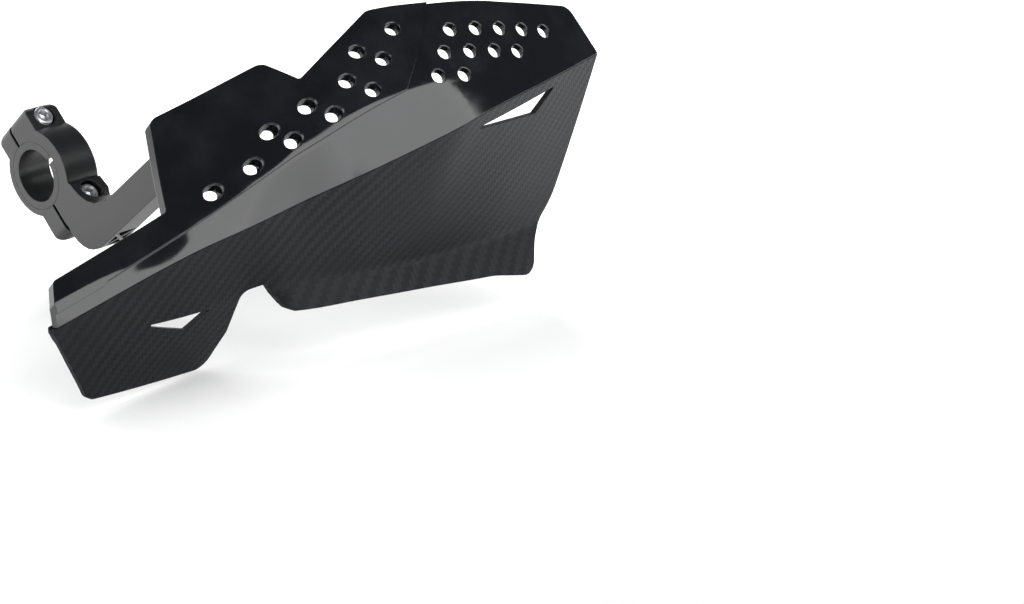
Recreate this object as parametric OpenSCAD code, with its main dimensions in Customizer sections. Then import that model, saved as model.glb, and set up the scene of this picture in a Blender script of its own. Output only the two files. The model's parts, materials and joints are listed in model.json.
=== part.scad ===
// Hand guard for the left side of a motorcycle handlebar.
// X runs along the bar and points outboard, -Y points forward, Z is up.
// The origin is the middle of the handlebar bore.

/* [Shield] */
// Wall of the gloss upper shell
shell_wall = 2.4; // [2:0.2:3.6]
// Wall of the front panel
panel_wall = 2.4; // [2:0.2:3.6]
// Height of the raised plate on the inboard part of the visor
plate_rise = 1.2; // [0.6:0.2:2]
// Seam between the upper shell and the front panel
seam = 0.3; // [0.2:0.1:0.6]
// Thickness of the flange that the front panel tucks behind the band
flange_t = 2.4; // [1.6:0.2:3]
// Radius of the rounded crease between visor and band
crease_r = 2.5; // [1:0.5:4]

/* [Vent holes] */
// Bore of the round holes in the visor
hole_d = 5.6; // [4:0.2:7]
// Width of the bevel round each hole
hole_bevel = 0.4; // [0.2:0.1:1]
// Pitch of the outboard rows along the bar
row_pitch = 11.1; // [10:0.1:12]

/* [Clamp] */
// Diameter of the handlebar that the split shim fits
bar_d = 22.2; // [20:0.1:24]
// Outer diameter of the split shim
shim_od = 28.6; // [27:0.2:30]
// Clearance between the shim and the clamp halves
shim_gap = 0.1; // [0.05:0.05:0.3]
// Width of the slit in the shim
shim_slit = 2.4; // [1:0.2:4]
// Width of the clamp along the bar
clamp_w = 16; // [14:0.5:20]
// Angle of the split plane from the horizontal
split_angle = 48; // [30:1:60]
// Gap between the clamp halves
split_gap = 1.5; // [0.6:0.1:3]
// Outer radius of the arm half of the clamp
saddle_r = 19.8; // [19:0.1:23]
// Outer radius of the clamp cap
cap_r = 17.2; // [17:0.1:20]
// Distance of each clamp screw from the bore axis
screw_off = 19; // [18.5:0.1:21]
// Height of the upper ear of the arm half above the split plane
ear_h = 14.6; // [13:0.2:17]
// Height of the ears of the cap below the split plane
cap_ear_h = 9.8; // [8.5:0.1:12]
// Depth of the nut pockets in the cap
nut_pocket = 4.4; // [4.2:0.1:5.5]

/* [Arm] */
// Width of the arm along the bar
arm_w = 12; // [10:0.5:14]
// Depth of the arm across its length
arm_t = 13; // [11:0.5:15]
// Slope of the arm above the horizontal
arm_slope = 39; // [34:0.5:42]
// Depth of the open truss pockets
pocket_depth = 8; // [4:0.5:9]
// Thickness of the walls and ribs round the pockets
rib_t = 1.6; // [1:0.1:2.4]
// Number of crossed rib cells
truss_cells = 4; // [2:1:4]
// Length of a rib cell
truss_pitch = 13; // [10:0.5:13]
// Thickness of the mounting plate at the head of the arm
plate_t = 4; // [3:0.5:5]

/* [Fasteners] */
// Thread diameter of the clamp screws and the arm screws
m5_d = 5; // [4:0.5:6]
// Head diameter of the clamp screws
m5_head_d = 8.5; // [8:0.1:10]
// Head height of the clamp screws
m5_head_h = 5; // [4:0.1:6]
// Length of the clamp screws under the head
clamp_screw_l = 20; // [19:0.5:21]
// Width of the nuts across their flats
nut_af = 8; // [7.5:0.1:9]
// Height of the nuts
nut_h = 4; // [3:0.1:4.5]
// Diameter of the washers
washer_d = 9; // [8.6:0.1:9.6]
// Thickness of the washers
washer_t = 1; // [0.6:0.1:1.4]
// Length of the arm screws under the head
arm_screw_l = 14; // [12:0.5:16]
// Thread diameter of the panel screws
panel_screw_d = 3; // [2.5:0.1:3.5]
// Head diameter of the panel screws
panel_head_d = 9; // [8:0.1:10]
// Length of the panel screws under the head
panel_screw_l = 5.6; // [4:0.1:6]

/* [Hidden] */
$fn = 48;
// Free clearance where a part drops over another
fit = 0.3;

// Sections of the shield, from the inboard end to the outboard end.
// Each list holds one value for each station along the bar.
station_x = [-92, -38, -14, 2, 32, 62, 102, 146];
// Crease between the visor and the band
crease_y = [-107.5, -123, -134.5, -142.5, -156.5, -165, -169, -171.5];
crease_z = [-11, 9.5, 23, 32.5, 47.5, 53, 56.5, 55];
// Slope of the visor behind the crease and how fast it flattens
visor_slope = [1.3, 1.25, 0.95, 0.75, 1.0, 0.8, 0.77, 0.67];
visor_flare = [0, -0.005, 0.01, 0.02, 0.015, 0.01, 0, 0];
// Ridge between the band and the front panel
ridge_y = [-107.5, -128.5, -134, -138, -160, -176.5, -178, -175];
ridge_z = [-19, 2, 7, 11, 25.5, 38.5, 45, 49.5];
// Crease above the flared lip of the front panel
lip_y = [-106, -122, -125, -134, -143, -148, -157, -160];
lip_z = [-40, -24, -22, -21, -22, -24, -22, -20];
// Lower edge of the front panel
foot_y = [-108, -109, -109, -137, -145.5, -153, -162, -163];
foot_z = [-52, -52, -52, -31, -33.5, -35, -37, -38];
// Distance between the columns of the shield's surface
column = 8;
// Heights of the visor's rows above the crease
visor_rows = [46, 36, 27, 19, 12, 6];
// The lower rows run on below the foot by this share of the lip
foot_run = 0.35;
// Height of the row that ends the bridge behind the ridge
bridge_h = 5;

// Angle of the mould's draw direction for the visor and its holes
draw_tilt = 45;
// Outline of the visor in the draw frame: along the bar, across, corner radius
visor_outline = [[-29, -36.5, 3.5], [9, -39, 3.5], [14.5, -53, 1], [49.5, -40, 4],
                 [73.5, -47.6, 1], [104, -57, 30], [140, -67, 6], [144, -89, 1], [147, -106, 1],
                 [-95, -106, 1], [-89.4, -89.5, 0.8], [-89.6, -82.8, 1], [-85.5, -74.8, 2],
                 [-41, -71, 1.5]];
// Outline of the raised plate in the draw frame
plate_outline = [[-120, 0, 1], [-120, -110, 1], [-70, -84, 1], [0, -77.8, 1], [43, -76.8, 2],
                 [55, -65.5, 1], [73, -46.5, 1], [79, -30, 1]];
// Outline of the front panel seen from the front
panel_outline = [[-84, 20, 1], [-84, -15.6, 1], [-90.4, -18.1, 0.5], [-90.4, -20, 2], [-78, -49.5, 5], [-20, -55, 7],
                 [-14, -40, 6], [-14, -22, 4], [-5.5, -19.5, 1.5], [1, -31, 2.5], [94, -36.5, 40],
                 [117, -42, 8], [121.5, -28.5, 20], [131.5, -12, 30], [144.3, 50.5, 1],
                 [132, 51, 1], [132, 80, 1]];
// Vents in the front panel: corners seen from the front
big_vent = [[114, 41.8], [104, 32], [65, 33]];
small_vent = [[-57, -24.5], [-37, -31.5], [-27.5, -25]];
// Outboard holes: start of the first row, step to the next row, holes in each row
row_start = [75, -61];
row_fall = -3.2;
row_step = [-8.35, -7.85];
row_count = [5, 4, 2];
// Inboard holes on the raised plate, in pairs along the crease
inboard_holes = [[53, -52], [36.5, -54], [42.5, -61.5], [26.5, -63], [32, -71], [11, -64],
                 [16.5, -72], [-2.8, -65], [1.7, -72.7], [-12.3, -73.2], [-26, -73.7]];

// Mounting plate in the draw frame
head_lo = [-22, -62];
head_hi = [4, -39];
head_d = 84;
boss_d = 10.5;
boss_at = [[-16, -44.5], [-16, -56], [-2, -57]];
insert_d = 7;
insert_h = 6;
// Places of the panel screws along the bar
fixing_x = [-68, -30, 22, 62, 104];
// The flange runs out from this place on, over this length, to this thickness
flange_from = -88;
flange_run = 14;
flange_end = 0.4;
// Posts of the upper shell, measured down from the band's outer face
post_d = 6.4;
pad_d = 10;
pad_h = 8;
panel_head_h = 2.4;
// Skin left in front of the blind holes in the posts
blind_skin = 1.8;

// Places along and across the bar of the arm, in the Y-Z plane
arm_root = [-49.1, -14.1];
arm_root_top = [-47.7, 1.5];
clamp_face = -clamp_w / 2;
upper_ear = screw_off + 6;
lower_ear = screw_off + 9.5;
ear_r = 4.5;
// Corner radius of the clamp's ears seen along the screws
ear_corner = 4.5;
seat_h = 8.8;
counterbore_d = washer_d + 0.8;
saddle_bore = shim_od / 2 + shim_gap;
bevel = 0.8;

function unit(v) = v / norm(v);
function slope(v, k) = (v[k + 1] - v[k]) / (station_x[k + 1] - station_x[k]);
function tangent(v, k) =
    k == 0 ? slope(v, 0) :
    k == len(v) - 1 ? slope(v, k - 1) :
    slope(v, k - 1) * slope(v, k) <= 0 ? 0 :
    2 * slope(v, k - 1) * slope(v, k) / (slope(v, k - 1) + slope(v, k));
function span_of(x, k = 0) =
    k >= len(station_x) - 2 || x <= station_x[k + 1] ? k : span_of(x, k + 1);
// Smooth value between the stations
function at(v, x) =
    let (k = span_of(x), h = station_x[k + 1] - station_x[k], t = (x - station_x[k]) / h)
    (2 * t ^ 3 - 3 * t ^ 2 + 1) * v[k] + (t ^ 3 - 2 * t ^ 2 + t) * h * tangent(v, k)
    + (3 * t ^ 2 - 2 * t ^ 3) * v[k + 1] + (t ^ 3 - t ^ 2) * h * tangent(v, k + 1);

function crease(x) = [x, at(crease_y, x), at(crease_z, x)];
function ridge(x) = [x, at(ridge_y, x), at(ridge_z, x)];
function lip(x) = [x, at(lip_y, x), at(lip_z, x)];
function foot(x) = [x, at(foot_y, x), at(foot_z, x)];
function visor(x, h) =
    crease(x) + [0, at(visor_slope, x) * h + at(visor_flare, x) * h ^ 2, h];
function toward(a, b, d) = a + unit(b - a) * d;

// One column of the shield's outer surface, from the back of the visor to the foot
function column_at(x) = concat(
    [for (h = visor_rows) visor(x, h)],
    [toward(crease(x), visor(x, visor_rows[5]), crease_r),
     toward(crease(x), ridge(x), crease_r),
     (crease(x) + ridge(x)) / 2,
     ridge(x),
     toward(ridge(x), lip(x), seam),
     toward(ridge(x), lip(x), bridge_h),
     toward(ridge(x), lip(x), bridge_h + panel_wall),
     (ridge(x) + lip(x)) / 2,
     toward(lip(x), ridge(x), crease_r),
     toward(lip(x), foot(x), crease_r),
     foot(x) + (foot(x) - lip(x)) * foot_run]);
band_row = 8;
ridge_row = 9;
seam_row = 10;
bridge_row = 11;
wall_row = 12;
last_row = 16;

column_count = ceil((station_x[len(station_x) - 1] - station_x[0]) / column);
surface = [for (i = [0 : column_count])
    column_at(station_x[0] + (station_x[len(station_x) - 1] - station_x[0]) * i / column_count)];

function clampi(i, n) = max(0, min(n, i));
function along(i, j) =
    surface[clampi(i + 1, column_count)][j] - surface[clampi(i - 1, column_count)][j];
// Outward normal of the strip between two rows
function strip_normal(i, a, b) = unit(cross(surface[i][b] - surface[i][a], along(i, a)));
// Mitre of the band and the panel at the ridge, so that both walls keep their thickness
function mitre(i) =
    let (nb = strip_normal(i, band_row, ridge_row), np = strip_normal(i, seam_row, wall_row),
         m = unit(nb + np)) m / (m * nb);
// Outward normal at a point of the surface
function normal_at(i, j) =
    j == ridge_row || j == seam_row ? mitre(i) :
    unit(cross(surface[i][clampi(j + 1, last_row)] - surface[i][clampi(j - 1, last_row)],
               along(i, j)));
normals = [for (i = [0 : column_count]) [for (j = [0 : last_row]) normal_at(i, j)]];

// Closed solid between two layers of the surface, given as lists of columns
module skin(top, under) {
    n = len(top[0]);
    m = len(top);
    pts = concat([for (c = top) each c], [for (c = under) each c]);
    base = m * n;
    polyhedron(pts, concat(
        [for (i = [0 : m - 2]) for (j = [0 : n - 2]) each
            [[i * n + j, (i + 1) * n + j, i * n + j + 1],
             [(i + 1) * n + j, (i + 1) * n + j + 1, i * n + j + 1]]],
        [for (i = [0 : m - 2]) for (j = [0 : n - 2]) each
            [[base + i * n + j, base + i * n + j + 1, base + (i + 1) * n + j],
             [base + (i + 1) * n + j, base + i * n + j + 1, base + (i + 1) * n + j + 1]]],
        [for (i = [0 : m - 2]) each
            [[i * n, base + i * n, (i + 1) * n],
             [(i + 1) * n, base + i * n, base + (i + 1) * n],
             [i * n + n - 1, (i + 1) * n + n - 1, base + i * n + n - 1],
             [(i + 1) * n + n - 1, base + (i + 1) * n + n - 1, base + i * n + n - 1]]],
        [for (j = [0 : n - 2]) each
            [[j, j + 1, base + j + 1],
             [j, base + j + 1, base + j],
             [(m - 1) * n + j, base + (m - 1) * n + j + 1, (m - 1) * n + j + 1],
             [(m - 1) * n + j, base + (m - 1) * n + j, base + (m - 1) * n + j + 1]]]));
}

function sunk(i, j, depth) = surface[i][j] - normals[i][j] * depth;
function layer(from, to, depth) = [for (i = [0 : column_count])
    [for (j = [from : to]) sunk(i, j, depth)]];

// Sheet between two rows and two depths below the outer surface
module sheet(from, to, outer, inner) {
    skin(layer(from, to, outer), layer(from, to, inner));
}

// Space under the surface, swept along a direction
module under(from, to, depth, way) {
    top = layer(from, to, depth);
    skin(top, [for (c = top) [for (p = c) p + way]]);
}

// Filled outline whose corners are rounded, as a union of a polygon and its discs
function corner_arc(a, p, b, r) =
    let (u = unit(a - p), v = unit(b - p),
         half = acos(max(-1, min(1, u * v))) / 2,
         reach = min(r / tan(half), norm(a - p) * 0.45, norm(b - p) * 0.45),
         rr = reach * tan(half),
         c = p + unit(u + v) * (rr / sin(half)),
         s = p + u * reach - c, e = p + v * reach - c,
         turn = atan2(s[0] * e[1] - s[1] * e[0], s * e),
         steps = max(1, ceil(abs(turn) / 12)))
    [for (k = [0 : steps]) let (w = turn * k / steps)
        c + [s[0] * cos(w) - s[1] * sin(w), s[0] * sin(w) + s[1] * cos(w)]];
function rounded(pts) = [for (i = [0 : len(pts) - 1])
    let (n = len(pts), a = pts[(i + n - 1) % n], p = pts[i], b = pts[(i + 1) % n])
    each corner_arc([a[0], a[1]], [p[0], p[1]], [b[0], b[1]], p[2])];

// Prism along the draw direction of the visor
module draw_prism(pts, from = 0, to = 220) {
    rotate([draw_tilt, 0, 0]) translate([0, 0, from])
        linear_extrude(to - from) polygon(rounded(pts));
}

// Prism that runs front to back through the panel
module front_prism(pts) {
    translate([0, -60, 0]) rotate([90, 0, 0]) linear_extrude(160) polygon(pts);
}

row_holes = [for (r = [0 : len(row_count) - 1]) for (k = [0 : row_count[r] - 1])
    row_start + r * row_step + k * [row_pitch, row_fall]];

// Height of the visor in the draw frame, from the nearest point of its surface
function draw_pos(p) = [p[0], p[1] * cos(draw_tilt) + p[2] * sin(draw_tilt),
                        p[2] * cos(draw_tilt) - p[1] * sin(draw_tilt)];
function visor_h(x, w, lo = -6, hi = 46, n = 14) =
    let (m = (lo + hi) / 2)
    n == 0 ? m :
    draw_pos(visor(x, m))[1] < w ? visor_h(x, w, m, hi, n - 1) : visor_h(x, w, lo, m, n - 1);
function visor_draw(x, w) = draw_pos(visor(x, visor_h(x, w)))[2];

// Hole along the draw direction whose bevel lies square to the surface
module vent_hole(p, lift) {
    gx = (visor_draw(p[0] + 1, p[1]) - visor_draw(p[0] - 1, p[1])) / 2;
    gw = (visor_draw(p[0], p[1] + 1) - visor_draw(p[0], p[1] - 1)) / 2;
    n = unit([-gx, -gw, 1]);
    rim = hole_d * (1 + 1 / n[2]) / 2;
    rotate([draw_tilt, 0, 0]) {
        translate([p[0], p[1], 60]) cylinder(h = 140, d = hole_d);
        translate([p[0], p[1], visor_draw(p[0], p[1])])
            rotate([0, acos(n[2]), atan2(n[1], n[0])]) translate([0, 0, lift - hole_bevel])
            cylinder(h = 3, d1 = rim, d2 = rim + 6);
    }
}

// Frame on the middle of the band with local Z along its outward normal
module fixing_frame(x) {
    n = unit(cross(ridge(x) - crease(x), crease(x + 2) - crease(x - 2)));
    translate((crease(x) + ridge(x)) / 2)
        rotate([0, acos(n[2]), atan2(n[1], n[0])]) children();
}

module upper_shell() color([0.04, 0.04, 0.045]) {
    difference() {
        union() {
            intersection() {
                sheet(0, ridge_row, 0, shell_wall);
                draw_prism(visor_outline);
            }
            intersection() {
                sheet(0, 7, -plate_rise, shell_wall / 2);
                draw_prism(visor_outline);
                draw_prism(plate_outline);
            }
            arm_bosses();
            panel_posts();
        }
        for (p = row_holes) vent_hole(p, 0);
        for (p = inboard_holes) vent_hole(p, plate_rise);
        for (p = boss_at) rotate([draw_tilt, 0, 0])
            translate([p[0], p[1], head_d + plate_t - 1]) cylinder(h = insert_h + 1, d = insert_d);
        for (x = fixing_x) fixing_frame(x) translate([0, 0, -pad_h - 1])
            cylinder(h = pad_h + 1 - blind_skin, d = panel_screw_d);
    }
}

module arm_bosses() intersection() {
    rotate([draw_tilt, 0, 0]) for (p = boss_at)
        translate([p[0], p[1], head_d + plate_t]) cylinder(h = 60, d = boss_d);
    under(0, ridge_row, shell_wall / 2, [0, 60, -60]);
}

module panel_posts() intersection() {
    for (x = fixing_x) fixing_frame(x) translate([0, 0, fit - pad_h])
        cylinder(h = pad_h + 4, d = post_d);
    under(5, ridge_row, shell_wall / 2, [0, 40, 0]);
}

// Thickness of the flange, which runs out towards the inboard end
function flange_at(x) =
    flange_end + (flange_t - flange_end) * max(0, min(1, (x - flange_from) / flange_run));

// Skin of the panel: its top edge steps back behind the band and forms the flange
module panel_skin() {
    front = shell_wall + seam;
    skin([for (i = [0 : column_count]) concat(
             [sunk(i, band_row, front), sunk(i, seam_row, front), sunk(i, seam_row, 0)],
             [for (j = [wall_row : last_row]) sunk(i, j, 0)])],
         [for (i = [0 : column_count]) let (back = front + flange_at(surface[i][0][0])) concat(
             [sunk(i, band_row, back), sunk(i, seam_row, back), sunk(i, bridge_row, back)],
             [for (j = [wall_row : last_row]) sunk(i, j, panel_wall)])]);
}

module front_panel() color([0.16, 0.165, 0.175]) {
    difference() {
        union() {
            intersection() {
                panel_skin();
                front_prism(rounded(panel_outline));
            }
            flange_pads();
        }
        front_prism(big_vent);
        front_prism(small_vent);
        for (x = fixing_x) fixing_frame(x) translate([0, 0, -pad_h - 1])
            cylinder(h = pad_h, d = post_d + fit * 2);
    }
}

// Pads of the flange, each a cup that drops over a post of the upper shell
module flange_pads() intersection() {
    for (x = fixing_x) fixing_frame(x) translate([0, 0, -pad_h])
        cylinder(h = pad_h + 4, d = pad_d);
    under(5, bridge_row, shell_wall + seam + 0.2, [0, 40, 0]);
}

// Frame in which local X points to the upper ear and local Y to the screw heads
module clamp_frame() {
    rotate([90, 0, 90]) rotate([0, 0, split_angle]) children();
}

module ear(x0, x1, h) {
    hull() {
        translate([x0, 0]) square([0.1, h]);
        translate([x1 - 0.1, 0]) square([0.1, h - ear_r]);
        translate([x1 - ear_r, h - ear_r]) circle(r = ear_r);
    }
}

function arm_dir() = [-cos(arm_slope), sin(arm_slope)];
function arm_across() = [sin(arm_slope), cos(arm_slope)];
arm_len = 65;

module arm_profile() {
    lower = arm_root;
    upper = arm_root + arm_across() * arm_t;
    polygon(concat(
        [lower + arm_dir() * arm_len, upper + arm_dir() * arm_len],
        [upper + arm_dir() * 2, [-42.4, -2.4], [-35.8, -5], [-31, -5], [-26.3, -3.2],
         [-21, 0], [-12, 6], [-10, -6], [-19.8, -20.6], [-23.5, -23.6], [-26.6, -25],
         [-30, -25.7], [-33.1, -25.3], [-36.7, -24.1], [-40.8, -21.2]]));
}

// Rounded plan of the clamp seen along its screws
module clamp_plan() {
    half = clamp_w / 2;
    translate([0, 40, half]) rotate([90, 0, 0]) linear_extrude(80) polygon(rounded(
        [[-lower_ear, -half, ear_corner], [upper_ear, -half, ear_corner],
         [upper_ear, half, ear_corner], [-lower_ear, half, ear_corner]]));
}

module arm_half_profile() {
    intersection() {
        union() {
            circle(r = saddle_r);
            translate([screw_off - 5.5, 0]) square([5, ear_h]);
            ear(screw_off - 2, upper_ear, ear_h);
            translate([-lower_ear, 0]) square([lower_ear, 9]);
            polygon([[-8, 8], [-14, 15.9], [-20, 17], [-lower_ear, 12], [-lower_ear, 4]]);
        }
        translate([-60, split_gap / 2]) square([120, 60]);
    }
}

module mounting_arm() color([0.19, 0.19, 0.2]) {
    difference() {
        union() {
            translate([clamp_face, 0, 0]) clamp_frame() intersection() {
                linear_extrude(clamp_w) arm_half_profile();
                clamp_plan();
            }
            translate([clamp_face, 0, 0]) intersection() {
                rotate([90, 0, 90]) linear_extrude(arm_w) arm_profile();
                clamp_frame() translate([-100, split_gap / 2, -1]) cube([200, 200, clamp_w + 2]);
            }
            arm_head();
        }
        translate([-clamp_w, 0, 0]) rotate([0, 90, 0]) cylinder(h = clamp_w * 2, r = saddle_bore);
        for (s = [-1, 1]) clamp_frame() translate([s * screw_off, 0, 0]) rotate([-90, 0, 0]) {
            cylinder(h = 30, d = m5_d + 0.5);
            translate([0, 0, seat_h]) cylinder(h = 30, d = counterbore_d);
        }
        truss_pocket();
        for (p = boss_at) rotate([draw_tilt, 0, 0])
            translate([p[0], p[1], head_d - 1]) cylinder(h = plate_t + 2, d = m5_d + 0.5);
        rotate([draw_tilt, 0, 0]) translate([-60, -100, head_d + plate_t]) cube([120, 100, 40]);
    }
}

module arm_head() {
    rotate([draw_tilt, 0, 0]) translate([0, 0, head_d]) linear_extrude(plate_t)
        polygon(rounded([[head_lo[0], head_lo[1], 4], [head_hi[0], head_lo[1], 4],
                         [head_hi[0], head_hi[1], 3], [head_lo[0], head_hi[1], 4]]));
}

// Pockets on the open under face of the arm, left between crossed ribs
module truss_pocket() {
    length = truss_cells * truss_pitch;
    translate([clamp_face, arm_root[0], arm_root[1]]) rotate([arm_slope + 180, 0, 180])
        mirror([1, 0, 0])
        translate([0, 2, 0]) difference() {
            translate([rib_t, 0, -1]) cube([arm_w - 2 * rib_t, length, pocket_depth + 1]);
            for (k = [0 : truss_cells - 1]) for (s = [-1, 1])
                translate([arm_w / 2, (k + 0.5) * truss_pitch, 0])
                    rotate([0, 0, s * atan2(arm_w, truss_pitch)])
                    translate([-rib_t / 2, -truss_pitch, -2]) cube([rib_t, truss_pitch * 2, 20]);
            for (k = [1 : truss_cells - 1]) translate([0, k * truss_pitch - rib_t / 2, -2])
                cube([arm_w, rib_t, 20]);
        }
}

module cap_profile() {
    intersection() {
        union() {
            circle(r = cap_r);
            mirror([0, 1]) ear(0, upper_ear, cap_ear_h);
            mirror([1, 0]) mirror([0, 1]) ear(0, lower_ear, cap_ear_h);
        }
        translate([-60, -60 - split_gap / 2]) square([120, 60]);
    }
}

module clamp_cap() color([0.19, 0.19, 0.2]) {
    difference() {
        translate([clamp_face, 0, 0]) clamp_frame() intersection() {
            linear_extrude(clamp_w) cap_profile();
            clamp_plan();
        }
        translate([-clamp_w, 0, 0]) rotate([0, 90, 0]) cylinder(h = clamp_w * 2, r = saddle_bore);
        for (s = [-1, 1]) clamp_frame() translate([s * screw_off, 0, 0]) rotate([90, 0, 0]) {
            cylinder(h = 30, d = m5_d + 0.5);
            translate([0, 0, cap_ear_h - nut_pocket]) rotate([0, 0, 30])
                cylinder(h = 30, d = (nut_af + 0.2) / cos(30), $fn = 6);
        }
    }
}

module clamp_shim() color([0.1, 0.1, 0.105]) {
    clamp_frame() translate([0, 0, clamp_face]) difference() {
        cylinder(h = clamp_w, d = shim_od);
        translate([0, 0, -1]) cylinder(h = clamp_w + 2, d = bar_d);
        translate([-shim_slit / 2, 0, -1]) cube([shim_slit, shim_od, clamp_w + 2]);
    }
}

module at_clamp_screws() {
    for (s = [-1, 1]) clamp_frame() translate([s * screw_off, 0, 0]) rotate([-90, 0, 0])
        children();
}

module socket_screw(d, head_d, head_h, l) {
    difference() {
        union() {
            translate([0, 0, -l]) cylinder(h = l, d = d);
            cylinder(h = head_h, d = head_d);
        }
        translate([0, 0, head_h * 0.45]) cylinder(h = head_h, d = d * 0.9, $fn = 6);
    }
}

module clamp_screws() color([0.75, 0.76, 0.78]) at_clamp_screws()
    translate([0, 0, seat_h + washer_t]) socket_screw(m5_d, m5_head_d, m5_head_h, clamp_screw_l);

module washer(d, bore, t) {
    difference() {
        cylinder(h = t, d = d);
        translate([0, 0, -1]) cylinder(h = t + 2, d = bore);
    }
}

module clamp_washers() color([0.7, 0.71, 0.73]) at_clamp_screws()
    translate([0, 0, seat_h]) washer(washer_d, m5_d + 0.3, washer_t);

module clamp_nuts() color([0.7, 0.71, 0.73]) at_clamp_screws()
    translate([0, 0, -cap_ear_h + nut_pocket - nut_h]) rotate([0, 0, 30]) difference() {
        cylinder(h = nut_h, d = nut_af / cos(30), $fn = 6);
        translate([0, 0, -1]) cylinder(h = nut_h + 2, d = m5_d);
    }

module at_arm_screws() {
    for (p = boss_at) rotate([draw_tilt, 0, 0]) translate([p[0], p[1], head_d]) children();
}

module arm_screws() color([0.75, 0.76, 0.78]) at_arm_screws()
    mirror([0, 0, 1]) translate([0, 0, washer_t])
        socket_screw(m5_d, m5_head_d, m5_head_h * 0.6, plate_t + washer_t + insert_h - 0.5);

module arm_washers() color([0.7, 0.71, 0.73]) at_arm_screws()
    translate([0, 0, -washer_t]) washer(washer_d, m5_d + 0.3, washer_t);

module arm_inserts() color([0.72, 0.58, 0.28]) at_arm_screws()
    translate([0, 0, plate_t]) washer(insert_d, m5_d, insert_h);

module panel_screws() color([0.25, 0.25, 0.26]) {
    for (x = fixing_x) fixing_frame(x) {
        translate([0, 0, -pad_h]) cylinder(h = panel_screw_l, d = panel_screw_d);
        translate([0, 0, -pad_h - panel_head_h]) cylinder(h = panel_head_h, d = panel_head_d);
    }
}

upper_shell();
front_panel();
mounting_arm();
clamp_cap();
clamp_shim();
clamp_screws();
clamp_washers();
clamp_nuts();
arm_screws();
arm_washers();
arm_inserts();
panel_screws();
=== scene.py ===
"""Dressed model of a left-hand motorcycle hand guard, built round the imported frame."""
import json
import logging
import math
from dataclasses import dataclass, field
from enum import Enum
from typing import Callable, Iterable, Optional, Sequence

import bmesh
import bpy
import numpy as np
from mathutils import Matrix, Vector

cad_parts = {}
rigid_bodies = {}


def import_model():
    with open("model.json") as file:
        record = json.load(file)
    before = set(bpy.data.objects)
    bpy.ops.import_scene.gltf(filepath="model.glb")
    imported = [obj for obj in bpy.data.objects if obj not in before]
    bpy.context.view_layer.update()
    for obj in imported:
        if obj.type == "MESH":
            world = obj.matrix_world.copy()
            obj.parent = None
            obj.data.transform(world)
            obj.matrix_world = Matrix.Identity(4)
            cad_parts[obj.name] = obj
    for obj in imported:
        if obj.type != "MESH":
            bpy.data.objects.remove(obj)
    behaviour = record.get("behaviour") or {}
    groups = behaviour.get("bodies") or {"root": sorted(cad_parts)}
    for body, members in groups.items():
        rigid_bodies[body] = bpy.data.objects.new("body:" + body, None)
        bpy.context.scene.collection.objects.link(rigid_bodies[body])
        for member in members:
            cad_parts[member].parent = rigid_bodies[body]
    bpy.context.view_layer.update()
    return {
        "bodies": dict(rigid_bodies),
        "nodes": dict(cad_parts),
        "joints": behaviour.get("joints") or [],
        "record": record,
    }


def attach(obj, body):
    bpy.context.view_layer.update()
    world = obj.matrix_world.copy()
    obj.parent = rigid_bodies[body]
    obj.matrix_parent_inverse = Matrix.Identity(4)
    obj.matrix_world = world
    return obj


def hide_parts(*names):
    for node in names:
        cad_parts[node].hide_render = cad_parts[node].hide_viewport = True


LOG = logging.getLogger("hand_guard")
# Metres in a millimetre
MM = 0.001
# Slope of the visor's draw direction, and of the clamp's screws, from straight up
DRAW_TILT = math.radians(45.0)
SPLIT_ANGLE = math.radians(48.0)
DRAW_AXIS = Vector((0.0, -math.sin(DRAW_TILT), math.cos(DRAW_TILT)))
SCREW_AXIS = Vector((0.0, -math.sin(SPLIT_ANGLE), math.cos(SPLIT_ANGLE)))
EAR_AXIS = Vector((0.0, math.cos(SPLIT_ANGLE), math.sin(SPLIT_ANGLE)))
# Degrees that one piece of a rounded corner turns, and the share of a side that it may use
ARC_STEP = 6.0
CORNER_SHARE = 0.45
Point2 = tuple[float, float]
Point3 = tuple[float, float, float]
Colour = tuple[float, float, float]


class Finish(Enum):
    """The finishes of the guard, each with the record's material slot."""

    GLOSS = "gloss_shell"
    CARBON = "carbon_panel"
    NYLON = "arm_nylon"
    SHIM = "shim"
    STEEL = "screw_steel"
    BLACK_OXIDE = "dark_screw"
    BRASS = "brass"


class Meet(Enum):
    """What becomes of two solids that are put together."""

    CUT = "DIFFERENCE"
    ADD = "UNION"
    KEEP = "INTERSECT"


# Materials


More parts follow.
